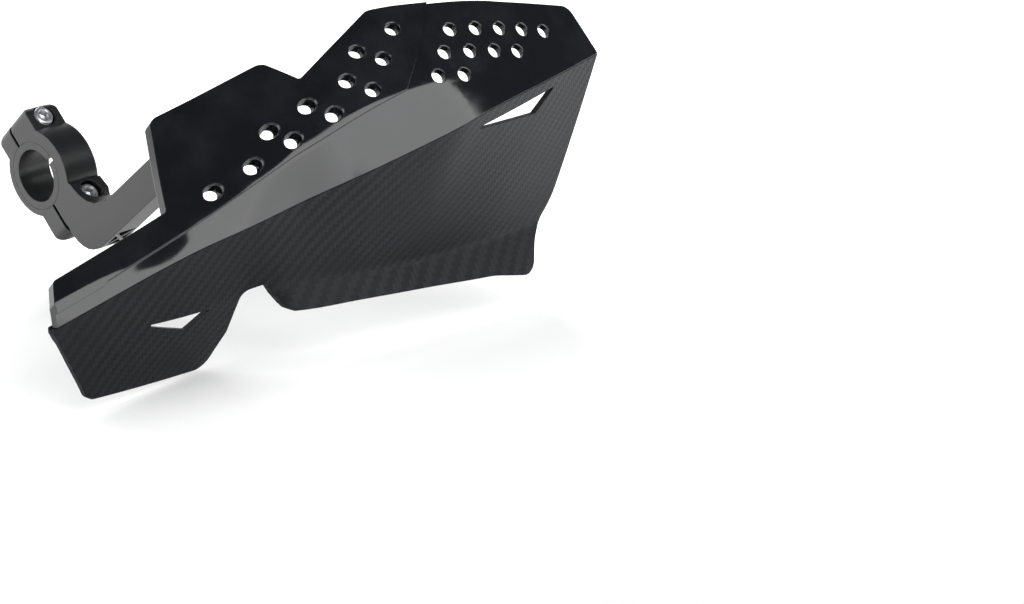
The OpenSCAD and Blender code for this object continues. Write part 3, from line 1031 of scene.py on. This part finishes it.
    @staticmethod
    def unit(v: np.ndarray) -> np.ndarray:
        """Scales vectors to length one."""
        return v / np.linalg.norm(v, axis=-1, keepdims=True)

    def normals(self, grid: np.ndarray) -> np.ndarray:
        """Gives the outward normals of a grid.

        Args:
            grid: columns and rows of points.

        Returns:
            A normal for each point.
        """
        down = np.gradient(grid, axis=1)
        along = np.gradient(grid, axis=0)
        return self.unit(np.cross(down, along))

    def mitre(self, upper: np.ndarray, lower: np.ndarray) -> np.ndarray:
        """Gives the mitred offset direction at the ridge.

        Args:
            upper: points of the upper shell.
            lower: points of the front panel.

        Returns:
            A direction for each column.
        """
        along = np.gradient(upper[:, -1], axis=0)
        band = self.unit(np.cross(upper[:, -1] - upper[:, -2], along))
        panel = self.unit(np.cross(lower[:, 2] - lower[:, 0], along))
        m = self.unit(band + panel)
        return m / np.sum(m * band, axis=1, keepdims=True)

    def grids(self) -> tuple[np.ndarray, np.ndarray, np.ndarray, np.ndarray]:
        """Gives the points and offset directions of both mouldings.

        Returns:
            Upper points, upper directions, lower points and lower directions.
        """
        xs = self.columns()
        upper = np.array([self.upper_rows(x) for x in xs])
        lower = np.array([self.lower_rows(x) for x in xs])
        upper_n, lower_n = self.normals(upper), self.normals(lower)
        edge = self.mitre(upper, lower)
        upper_n[:, -1] = edge
        lower_n[:, 0] = edge
        return upper, upper_n, lower, lower_n


def ring_skin(name: str, outer: np.ndarray, inner: np.ndarray) -> bpy.types.Object:
    """Closes two layers of a surface into one solid.

    Args:
        name: name of the object.
        outer: columns and rows of outer points.
        inner: columns and rows of inner points, with any number of rows.

    Returns:
        The solid as an object.
    """
    ring = np.concatenate([outer, inner[:, ::-1]], axis=1)
    columns, size = ring.shape[0], ring.shape[1]
    faces: list[list[int]] = []
    for i in range(columns - 1):
        for j in range(size):
            k = (j + 1) % size
            faces.append([i * size + j, i * size + k, (i + 1) * size + k, (i + 1) * size + j])
    faces.append(list(range(size))[::-1])
    faces.append([(columns - 1) * size + j for j in range(size)])
    return link(name, mesh_from(name, ring.reshape(-1, 3), faces))


@dataclass
class Shield:
    """The gloss upper shell and the matte front panel."""

    shelf: FinishShelf
    instances: InstanceTree
    form: ShieldForm = field(default_factory=ShieldForm)
    smooth: float = 24.0
    sides: int = 40
    rise: float = 1.2
    plate_sink: float = 1.4
    hole_d: float = 5.6
    hole_reach: Point2 = (-14.0, 2.5)
    bevel: float = 0.4
    bevel_bow: Point2 = (0.3, 0.35)
    overcut: float = 0.04
    vent_r: float = 0.5
    plate_reach: Point2 = (-2, 222)
    visor_reach: Point2 = (0, 220)
    front_reach: Point2 = (60, 220)
    visor_outline: tuple[Point3, ...] = (
        (-29, -36.5, 3.5), (9, -39, 3.5), (14.5, -53, 1), (49.5, -40, 4),
        (73.5, -47.6, 1), (104, -57, 30), (140, -67, 6), (144, -89, 1), (147, -106, 1),
        (-95, -106, 1), (-89.4, -89.5, 0.8), (-89.6, -82.8, 1), (-85.5, -74.8, 2),
        (-41, -71, 1.5))
    plate_outline: tuple[Point3, ...] = (
        (-120, 0, 1), (-120, -110, 1), (-70, -84, 1), (0, -77.8, 1), (43, -76.8, 2),
        (55, -65.5, 1), (73, -46.5, 1), (79, -30, 1))
    panel_outline: tuple[Point3, ...] = (
        (-84, 20, 1), (-84, -15.6, 1), (-90.4, -18.1, 0.5), (-90.4, -20, 2), (-78, -49.5, 5),
        (-20, -55, 7), (-14, -40, 6), (-14, -22, 4), (-5.5, -19.5, 1.5), (1, -31, 2.5),
        (94, -36.5, 40), (117, -42, 8), (121.5, -28.5, 20), (131.5, -12, 30), (144.3, 50.5, 1),
        (132, 51, 1), (132, 80, 1))
    big_vent: tuple[Point2, ...] = ((114, 41.8), (104, 32), (65, 33))
    small_vent: tuple[Point2, ...] = ((-57, -24.5), (-37, -31.5), (-27.5, -25))
    row_start: Point2 = (75, -61)
    row_fall: float = -3.2
    row_pitch: float = 11.1
    row_step: Point2 = (-8.35, -7.85)
    row_count: tuple[int, ...] = (5, 4, 2)
    inboard_holes: tuple[Point2, ...] = (
        (53, -52), (36.5, -54), (42.5, -61.5), (26.5, -63), (32, -71), (11, -64),
        (16.5, -72), (-2.8, -65), (1.7, -72.7), (-12.3, -73.2), (-26, -73.7))
    boss_at: tuple[Point2, ...] = ((-16, -44.5), (-16, -56), (-2, -57))
    boss_d: float = 10.5
    boss_low: float = 88.0
    boss_skin: float = 1.6
    insert_d: float = 7.0
    insert_h: float = 6.0
    fixing_x: tuple[float, ...] = (-68, -30, 22, 62, 104)
    post_d: float = 6.4
    post_edge: float = 0.3
    post_root: float = 1.0
    pad_d: float = 10.0
    pad_h: float = 8.0
    pad_edge: float = 0.4
    pad_root: float = 0.6
    fit: float = 0.3
    clear: float = 2.0
    screw_d: float = 3.0
    screw_sides: int = 24
    blind_skin: float = 1.8
    search_low: float = -6.0
    search_steps: int = 24

    def fixing(self, x: float) -> tuple[Vector, Vector]:
        """Gives a panel screw's place on the band.

        Args:
            x: place along the bar.

        Returns:
            The point in the band's middle and the outward normal there.
        """
        form = self.form
        down = form.ridge(x) - form.crease(x)
        along = form.crease(x + form.column) - form.crease(x - form.column)
        return (Vector((form.crease(x) + form.ridge(x)) / 2),
                Vector(form.unit(np.cross(down, along))))

    def visor_depth(self, x: float, across: float) -> float:
        """Gives the height of the visor in the draw frame.

        Args:
            x: place along the bar.
            across: place across it in the draw frame.

        Returns:
            The height in millimetres.
        """
        low, high = self.search_low, self.form.top
        for _ in range(self.search_steps):
            middle = (low + high) / 2
            p = self.form.visor(x, middle)
            if p[1] * math.cos(DRAW_TILT) + p[2] * math.sin(DRAW_TILT) < across:
                low = middle
            else:
                high = middle
        p = self.form.visor(x, low)
        return float(p[2] * math.cos(DRAW_TILT) - p[1] * math.sin(DRAW_TILT))

    def circle(self, place: Point2, radius: float, above: float,
               flat: Optional[float] = None) -> list[Vector]:
        """Gives the points of a circle that follows the visor or lies flat.

        Args:
            place: its middle in the draw frame.
            radius: its radius.
            above: its height above the visor.
            flat: its one height in the draw frame, where it doesn't follow the visor.

        Returns:
            The points in millimetres.
        """
        points = []
        for k in range(self.sides):
            turn = 2 * math.pi * k / self.sides
            x, across = place[0] + radius * math.cos(turn), place[1] + radius * math.sin(turn)
            depth = self.visor_depth(x, across) + above if flat is None else flat
            points.append(draw_place(x, across, depth))
        return points

    def holes(self, places: Sequence[Point2], lift: float, name: str) -> bpy.types.Object:
        """Makes the cutters of a group of vent holes, whose bevels follow the surface.

        Args:
            places: the holes' places in the draw frame.
            lift: height of the surface above the visor.
            name: name of the cutters.

        Returns:
            One object with all the cutters.
        """
        sides, r, b = self.sides, self.hole_d / 2, self.bevel
        below, above = self.hole_reach
        rings = ((r, below), (r, -b), (r + b * self.bevel_bow[0], -b * self.bevel_bow[1]),
                 (r + b, self.overcut), (r + b, above))
        verts: list[Vector] = []
        faces: list[list[int]] = []
        for place in places:
            base = len(verts)
            for radius, level in rings:
                verts += self.circle(place, radius, lift + level)
            for ring in range(len(rings) - 1):
                low = base + ring * sides
                faces += [[low + k, low + (k + 1) % sides, low + sides + (k + 1) % sides,
                           low + sides + k] for k in range(sides)]
            faces.append([base + k for k in reversed(range(sides))])
            faces.append([base + (len(rings) - 1) * sides + k for k in range(sides)])
        return link(name, mesh_from(name, verts, faces))

    def boss(self, place: Point2) -> bpy.types.Object:
        """Makes one blind boss, whose top follows the visor inside its wall.

        Args:
            place: the boss's place in the draw frame.

        Returns:
            The boss as an object.
        """
        sides, r = self.sides, self.boss_d / 2
        verts = self.circle(place, r, 0.0, self.boss_low) + self.circle(place, r, -self.boss_skin)
        verts.append(draw_place(*place, self.visor_depth(*place) - self.boss_skin))
        faces = [[k, (k + 1) % sides, sides + (k + 1) % sides, sides + k] for k in range(sides)]
        faces += [[sides + k, sides + (k + 1) % sides, 2 * sides] for k in range(sides)]
        faces.append(list(range(sides))[::-1])
        return link("boss", mesh_from("boss", verts, faces))

    def shell_blank(self) -> bpy.types.Object:
        """Makes the upper shell with its raised plate and outline, without bosses and holes.

        Returns:
            The blank as an object.
        """
        upper, normals, _, _ = self.form.grids()
        shell = ring_skin("gloss_upper_shell", upper, upper - normals * self.form.wall)
        part = (slice(1, None), slice(1, upper.shape[1] - self.form.band_steps))
        plate = ring_skin("plate", upper[part] + normals[part] * self.rise,
                          upper[part] - normals[part] * self.plate_sink)
        edge = prism("plate_edge", rounded(self.plate_outline), draw_place, *self.plate_reach)
        combine(plate, edge, Meet.KEEP)
        combine(shell, plate, Meet.ADD)
        edge = prism("outline", rounded(self.visor_outline), draw_place, *self.visor_reach)
        combine(shell, edge, Meet.KEEP)
        return shell

    def build_shell(self) -> bpy.types.Object:
        """Builds the gloss upper shell.

        Returns:
            The finished piece.
        """
        shell = self.shell_blank()
        for place in self.boss_at:
            combine(shell, self.boss(place), Meet.ADD)
        posts = [self.fixing(x) for x in self.fixing_x]
        tip, r = self.fit - self.pad_h, self.post_d / 2
        post = lathe("post", [(0, tip), (r - self.post_edge, tip), (r, tip + self.post_edge),
                              (r, -self.post_root), (0, -self.post_root)])
        combine(shell, self.instances.spread("posts", post, posts), Meet.ADD)
        row = [(self.row_start[0] + r * self.row_step[0] + k * self.row_pitch,
                self.row_start[1] + r * self.row_step[1] + k * self.row_fall)
               for r, count in enumerate(self.row_count) for k in range(count)]
        combine(shell, self.holes(row, 0.0, "outboard_holes"), Meet.CUT)
        combine(shell, self.holes(self.inboard_holes, self.rise, "inboard_holes"), Meet.CUT)
        low, r = -self.pad_h - self.clear, self.screw_d / 2
        drill = lathe("pilot", [(0, low), (r, low), (r, -self.blind_skin), (0, -self.blind_skin)],
                      self.screw_sides)
        combine(shell, self.instances.spread("pilots", drill, posts), Meet.CUT)
        r = self.insert_d / 2
        drill = lathe("seat", [(0, -self.clear), (r, -self.clear), (r, self.insert_h),
                               (0, self.insert_h)])
        seats = [(draw_place(x, w, self.boss_low), DRAW_AXIS) for x, w in self.boss_at]
        combine(shell, self.instances.spread("seats", drill, seats), Meet.CUT)
        return finish_piece(shell, self.shelf.get(Finish.GLOSS), Finish.GLOSS, ["upper_shell"],
                            self.smooth, weigh=True)

    def panel_blank(self) -> bpy.types.Object:
        """Makes the front panel's skin with the flange behind the band, cut to its outline.

        Returns:
            The blank as an object.
        """
        form = self.form
        upper, upper_n, lower, lower_n = form.grids()
        front = form.wall + form.seam
        run = np.clip((form.columns() - form.flange_from) / form.flange_run, 0.0, 1.0)
        back = (front + form.flange_end + (form.flange - form.flange_end) * run)[:, None]
        band = upper.shape[1] - 1 - form.band_steps // 2
        outer = np.concatenate([
            (upper[:, band] - upper_n[:, band] * front)[:, None],
            (lower[:, 0] - lower_n[:, 0] * front)[:, None],
            lower[:, :1], lower[:, 2:]], axis=1)
        inner = np.concatenate([
            (upper[:, band] - upper_n[:, band] * back)[:, None],
            (lower[:, 0] - lower_n[:, 0] * back)[:, None],
            (lower[:, 1] - lower_n[:, 1] * back)[:, None],
            lower[:, 2:] - lower_n[:, 2:] * form.wall], axis=1)
        panel = ring_skin("twill_front_panel", outer, inner)
        edge = prism("outline", rounded(self.panel_outline), front_place, *self.front_reach)
        combine(panel, edge, Meet.KEEP)
        return panel

    def build_panel(self) -> bpy.types.Object:
        """Builds the matte front panel.

        Returns:
            The finished piece.
        """
        panel = self.panel_blank()
        posts = [self.fixing(x) for x in self.fixing_x]
        root = -(self.form.wall + self.form.seam) - self.pad_root
        low, r = -self.pad_h, self.pad_d / 2
        pad = lathe("pad", [(0, low), (r - self.pad_edge, low), (r, low + self.pad_edge), (r, root),
                            (0, root)])
        combine(panel, self.instances.spread("pads", pad, posts), Meet.ADD)
        low, r = -self.pad_h - self.clear, self.post_d / 2 + self.fit
        bore = lathe("bore", [(0, low), (r, low), (r, -self.post_root), (0, -self.post_root)])
        combine(panel, self.instances.spread("bores", bore, posts), Meet.CUT)
        for corners in (self.big_vent, self.small_vent):
            vent = rounded([(*corner, self.vent_r) for corner in corners])
            combine(panel, prism("vent", vent, front_place, *self.front_reach), Meet.CUT)
        return finish_piece(panel, self.shelf.get(Finish.CARBON), Finish.CARBON, ["front_panel"],
                            self.smooth, weigh=True)


# Fasteners


def hex_cut(mesh: bpy.types.Mesh, width: float, floor: float, top: float,
            cone: float = 0.4) -> bpy.types.Mesh:
    """Cuts a hexagonal socket along Z into a screw's mesh.

    Args:
        mesh: the mesh.
        width: width across the flats in millimetres.
        floor: height of the socket's floor.
        top: height above which nothing is left to cut.
        cone: depth of the drill's cone below the floor, as a share of the corner's radius.

    Returns:
        The cut mesh.
    """
    screw = link("screw", mesh)
    corner = width / math.sqrt(3)
    tip = floor - corner * cone
    socket = lathe("hex", [(0, tip), (corner, floor), (corner, top), (0, top)], 6)
    combine(screw, link("hex", socket), Meet.CUT)
    result = screw.data
    bpy.data.objects.remove(screw)
    return result


@dataclass(frozen=True)
class CapScrew:
    """A socket head cap screw with a knurled head and a threaded shank. Sizes in millimetres."""

    head_h: float
    length: float
    shank: float = 5.0
    head_d: float = 8.5
    pitch: float = 0.8
    thread_h: float = 0.42
    crest: float = 0.12
    tip: float = 0.5
    plain: float = 3.5
    sides: int = 48
    knurl_gap: float = 0.12
    edge: float = 0.15
    round_r: float = 0.55
    crown: Point2 = (0.75, 0.08)
    sink: Point2 = (0.35, 0.3)
    socket: float = 0.8
    socket_floor: float = 0.42
    ribs: int = 40
    rib_r: float = 0.2
    rib_sink: float = 0.14
    rib_tip: float = 0.05
    clear: float = 1.0

    def profile(self) -> list[Point2]:
        """Draws the screw's half section.

        Returns:
            Radii and heights from the tip to the head's top.
        """
        shaft, head, top = self.shank / 2, self.head_d / 2, self.head_h
        root, start = shaft - self.thread_h, -self.length + self.tip
        points: list[Point2] = [(0, -self.length), (root, -self.length), (shaft, start)]
        for k in range(int((self.length - self.plain) / self.pitch)):
            z = start + k * self.pitch
            points += [(shaft, z + self.crest), (root, z + self.pitch / 2),
                       (shaft, z + self.pitch - self.crest)]
        side = head - self.knurl_gap
        return points + [
            (shaft, 0), (head - self.edge, 0), (side, self.edge), (side, top - self.round_r),
            (head - self.round_r, top - self.crown[1]), (head - self.crown[0], top),
            (shaft + self.sink[0], top), (shaft, top - self.sink[1]), (0, top - self.sink[1])]

    def mesh(self, instances: InstanceTree) -> bpy.types.Mesh:
        """Makes the screw.

        Args:
            instances: the tree that sets the knurl's ribs.

        Returns:
            The mesh, seated at the origin with its head up.
        """
        body = hex_cut(lathe("cap_screw", self.profile(), self.sides), self.shank * self.socket,
                       self.head_h * self.socket_floor, self.head_h + self.clear)
        low, high = 2 * self.edge, self.head_h - self.round_r - self.edge
        rib = lathe("rib", [(0, low - self.rib_tip), (self.rib_r, low), (self.rib_r, high),
                            (0, high + self.rib_tip)], 5)
        radius = self.head_d / 2 - self.rib_sink
        turns = [2 * math.pi * k / self.ribs for k in range(self.ribs)]
        spots = [(Vector((radius * math.cos(w), radius * math.sin(w), 0)), Vector((0, 0, 1)))
                 for w in turns]
        knurl = instances.spread("knurl", rib, spots)
        bm = bmesh.new()
        bm.from_mesh(body)
        bm.from_mesh(knurl.data)
        bm.to_mesh(body)
        bm.free()
        bpy.data.objects.remove(knurl)
        return body


@dataclass(frozen=True)
class PanScrew:
    """A washer-head pan screw with a coarse thread and a hexagonal socket, in millimetres."""

    length: float = 5.6
    core: float = 1.05
    thread: float = 1.5
    pitch: float = 1.2
    turns: int = 3
    tip: tuple[Point2, ...] = ((0.5, 0.0), (1.1, 0.6))
    thread_start: float = 0.8
    flank: float = 0.25
    head: tuple[Point2, ...] = ((4.45, 0), (4.5, 0.25), (4.4, 0.6), (3.1, 0.75), (2.95, 1.5),
                                (2.4, 2.1), (1.5, 2.4), (0, 2.4))
    neck: float = 0.3
    sides: int = 40
    socket: float = 2.0
    socket_floor: float = 1.1
    socket_top: float = 3.0

    def mesh(self) -> bpy.types.Mesh:
        """Makes the screw.

        Returns:
            The mesh, seated at the origin with its head up.
        """
        points: list[Point2] = [(0, -self.length)]
        points += [(r, -self.length + z) for r, z in self.tip]
        for k in range(self.turns):
            z = -self.length + self.thread_start + k * self.pitch
            points += [(self.core, z), (self.thread, z + self.flank),
                       (self.core, z + 2 * self.flank)]
        points += [(self.core, -self.neck), (self.thread, 0), *self.head]
        return hex_cut(lathe("pan_screw", points, self.sides), self.socket, self.socket_floor,
                       self.socket_top)


@dataclass
class Fasteners:
    """The screws, at the clamp, on the arm's plate and behind the panel."""

    shelf: FinishShelf
    instances: InstanceTree
    shield: Shield
    smooth: float = 35.0
    screw_off: float = 19.0
    seat: float = 9.8
    clamp_screw: CapScrew = CapScrew(head_h=5.0, length=20.0)
    clamp_spin: float = 0.35
    plate_low: float = 84.0
    washer_h: float = 1.0
    arm_screw: CapScrew = CapScrew(head_h=3.0, length=10.5)
    panel_screw: PanScrew = PanScrew()

    def place(self, name: str, mesh: bpy.types.Mesh, spots: Sequence[tuple[Vector, Vector]],
              finish: Finish, node: str, spin: float = 0.0) -> None:
        """Sets a screw at its places as one piece that stands for a node.

        Args:
            name: name of the piece.
            mesh: the screw.
            spots: pairs of a point in millimetres and an axis.
            finish: its finish.
            node: the frame's node that it stands for.
            spin: turn about the axis in radians.
        """
        paint = self.shelf.get(finish)
        piece = self.instances.spread(name, mesh, spots, paint, spin)
        finish_piece(piece, paint, finish, [node], self.smooth)

    def build(self) -> None:
        """Builds all the screws."""
        ears = [EAR_AXIS * (side * self.screw_off) for side in (-1, 1)]
        self.place("clamp_cap_screws", self.clamp_screw.mesh(self.instances),
                   [(ear + SCREW_AXIS * self.seat, SCREW_AXIS) for ear in ears],
                   Finish.STEEL, "clamp_screws", self.clamp_spin)
        under = self.plate_low - self.washer_h
        self.place("arm_cap_screws", self.arm_screw.mesh(self.instances),
                   [(draw_place(x, w, under), -DRAW_AXIS) for x, w in self.shield.boss_at],
                   Finish.STEEL, "arm_screws")
        fixings = map(self.shield.fixing, self.shield.fixing_x)
        self.place("panel_pan_screws", self.panel_screw.mesh(),
                   [(point - out * self.shield.pad_h, -out) for point, out in fixings],
                   Finish.BLACK_OXIDE, "panel_screws")


# Studio


@dataclass(frozen=True)
class Softbox:
    """A rectangular lamp that faces the guard. Places and sizes in metres, power in watts."""

    name: str
    at: Point3
    size: Point2
    power: float
    mirrored: bool = True

    def hang(self, aim: Point3) -> None:
        """Hangs the lamp, hidden from the camera, and from mirroring surfaces where it says so.

        Args:
            aim: the point it faces.
        """
        data = bpy.data.lights.new(self.name, "AREA")
        data.shape = "RECTANGLE"
        data.size, data.size_y = self.size
        data.energy = self.power
        lamp = link(self.name, data)
        lamp.visible_camera = False
        lamp.visible_glossy = self.mirrored
        way = Vector(aim) - Vector(self.at)
        lamp.matrix_world = (Matrix.Translation(Vector(self.at))
                             @ way.to_track_quat("-Z", "Y").to_matrix().to_4x4())


@dataclass
class Studio:
    """Camera, floor, world and lamps. The camera and the floor's height are in millimetres."""

    eye: Point3 = (-529.71, -665.83, 242.59)
    forward: Point3 = (0.73603, 0.58502, -0.34061)
    lens: float = 72.84
    sensor: float = 36.0
    seen_range: Point2 = (0.05, 20.0)
    floor_z: float = -56.0
    floor_grey: float = 0.70
    floor_rough: float = 0.6
    floor_glow: Point2 = (0.22, 0.95)
    glow_reach: Point2 = (0.12, 0.22)
    glow_centre: float = -0.13
    sheet: tuple[float, float, float, float] = (-3.0, 3.0, -0.34, 4.0)
    card: float = 2.2
    card_edge: Point2 = (-0.17, -0.22)
    backdrop_top: Point2 = (0.45, 0.62)
    backdrop_side: Point2 = (-0.25, 0.05)
    room: Colour = (0.9, 0.95, 1.0)
    room_light: float = 0.1
    aim: Point3 = (0.03, -0.13, 0.02)
    lamps: tuple[Softbox, ...] = (
        Softbox("front_box", (0.052, -1.406, 0.268), (1.70, 2.26), 52.0),
        Softbox("back_box", (0.1, 1.45, 1.0), (1.8, 1.2), 20.0),
        Softbox("left_box", (-1.5, 0.25, 0.75), (1.1, 1.0), 12.0),
        Softbox("top_box", (0.03, -0.05, 1.2), (0.9, 0.9), 7.0, mirrored=False))

    def camera(self) -> None:
        """Sets the camera at the photograph's viewing angle."""
        data = bpy.data.cameras.new("view")
        data.lens = self.lens
        data.sensor_width = self.sensor
        data.clip_start, data.clip_end = self.seen_range
        cam = link("view", data)
        ahead = Vector(self.forward).normalized()
        right = ahead.cross(Vector((0, 0, 1))).normalized()
        up = right.cross(ahead)
        turn = Matrix((right, up, -ahead)).transposed().to_4x4()
        cam.matrix_world = Matrix.Translation(Vector(self.eye) * MM) @ turn
        bpy.context.scene.camera = cam

    def glow(self, g: Paint, shown: bpy.types.NodeSocket,
             mirrored: bpy.types.NodeSocket) -> bpy.types.NodeSocket:
        """Gives the floor's glow, dim under the guard, with a bright card in front for reflections.

        Args:
            g: the floor's paint.
            shown: whether the ray sees the glow.
            mirrored: whether a surface mirrors or refracts the ray.

        Returns:
            The strength of the glow.
        """
        place = g.split(g.coords)
        ahead = g.math("POWER", g.math("SUBTRACT", place["Y"], self.glow_centre), 2.0)
        away = g.math("SQRT", g.math("ADD", g.math("POWER", place["X"], 2.0), ahead))
        pale = g.math("MULTIPLY", shown, g.ramp(away, *self.glow_reach, *self.floor_glow))
        card = g.math("MULTIPLY", mirrored, g.ramp(place["Y"], *self.card_edge, 0.0, self.card))
        return g.math("ADD", pale, card)

    def floor(self) -> None:
        """Lays the pale floor, white to the camera where no shadow falls."""
        left, right, front, back = self.sheet
        z = self.floor_z * MM
        mesh = bpy.data.meshes.new("floor")
        mesh.from_pydata([(left, front, z), (right, front, z), (right, back, z), (left, back, z)],
                         [], [(0, 1, 2, 3)])
        g = Paint("pale_floor")
        grey = self.floor_grey
        g.coat((grey, grey, grey, 1.0), self.floor_rough)
        camera_ray, mirrored = g.rays()
        shown = g.math("MAXIMUM", camera_ray, mirrored)
        light = g.add("ShaderNodeEmission")
        g.put(light.inputs["Strength"], self.glow(g, shown, mirrored))
        plain = g.shader.outputs[0]
        both = g.fill(g.add("ShaderNodeAddShader"), (plain, light.outputs[0])).outputs[0]
        pick = g.fill(g.add("ShaderNodeMixShader"), (shown, plain, both))
        g.put(g.output.inputs["Surface"], pick.outputs[0])
        mesh.materials.append(g.material)
        link("floor", mesh)

    def world(self) -> None:
        """Sets a white surround for the camera, and the backdrop behind for reflections."""
        world = bpy.data.worlds.new("studio")
        bpy.context.scene.world = world
        world.use_nodes = True
        g = NodeGraph(world.node_tree)
        way = g.split(g.add("ShaderNodeTexCoord").outputs["Generated"])
        wall = g.math("MULTIPLY", g.ramp(way["Z"], *self.backdrop_top, 1.0, 0.0),
                      g.ramp(way["Y"], *self.backdrop_side))
        camera_ray, mirrored = g.rays()
        shown = g.math("MAXIMUM", camera_ray, g.math("MULTIPLY", mirrored, wall))
        dim = g.fill(g.add("ShaderNodeBackground"), ((*self.room, 1.0), self.room_light))
        white = g.fill(g.add("ShaderNodeBackground"), ((1.0, 1.0, 1.0, 1.0),))
        pick = g.fill(g.add("ShaderNodeMixShader"), (shown, dim.outputs[0], white.outputs[0]))
        g.fill(g.add("ShaderNodeOutputWorld"), (pick.outputs[0],))

    def build(self) -> None:
        """Builds the studio."""
        self.camera()
        self.floor()
        self.world()
        for lamp in self.lamps:
            lamp.hang(self.aim)
        bpy.context.scene.view_settings.view_transform = "Standard"


# Assembly


@dataclass
class HandGuard:
    """The whole guard: dressed mouldings, arm, clamp and fasteners."""

    frame: dict
    shelf: FinishShelf = field(default_factory=FinishShelf)
    dressed: tuple[tuple[str, Finish], ...] = (
        ("mounting_arm", Finish.NYLON), ("clamp_cap", Finish.NYLON), ("clamp_shim", Finish.SHIM),
        ("clamp_washers", Finish.STEEL), ("clamp_nuts", Finish.STEEL),
        ("arm_washers", Finish.STEEL), ("arm_inserts", Finish.BRASS))

    def dress_node(self, node: str, finish: Finish) -> None:
        """Gives a node of the frame its finish.

        Args:
            node: name of the node.
            finish: its finish.
        """
        obj = self.frame["nodes"][node]
        paint = self.shelf.get(finish)
        if not obj.data.materials:
            obj.data.materials.append(paint)
        for index in range(len(obj.data.materials)):
            obj.data.materials[index] = paint
        LOG.info("%s: dressed in %s", node, paint.name)

    def build(self) -> None:
        """Builds every piece in order."""
        instances = InstanceTree("place_along_axis")
        shield = Shield(self.shelf, instances)
        shield.build_shell()
        shield.build_panel()
        Fasteners(self.shelf, instances, shield).build()
        for node, finish in self.dressed:
            self.dress_node(node, finish)


def main() -> None:
    """Builds the studio and the guard."""
    logging.basicConfig(level=logging.INFO, format="%(name)s %(message)s")
    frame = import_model()
    Studio().build()
    HandGuard(frame).build()


if __name__ == "__main__":
    main()
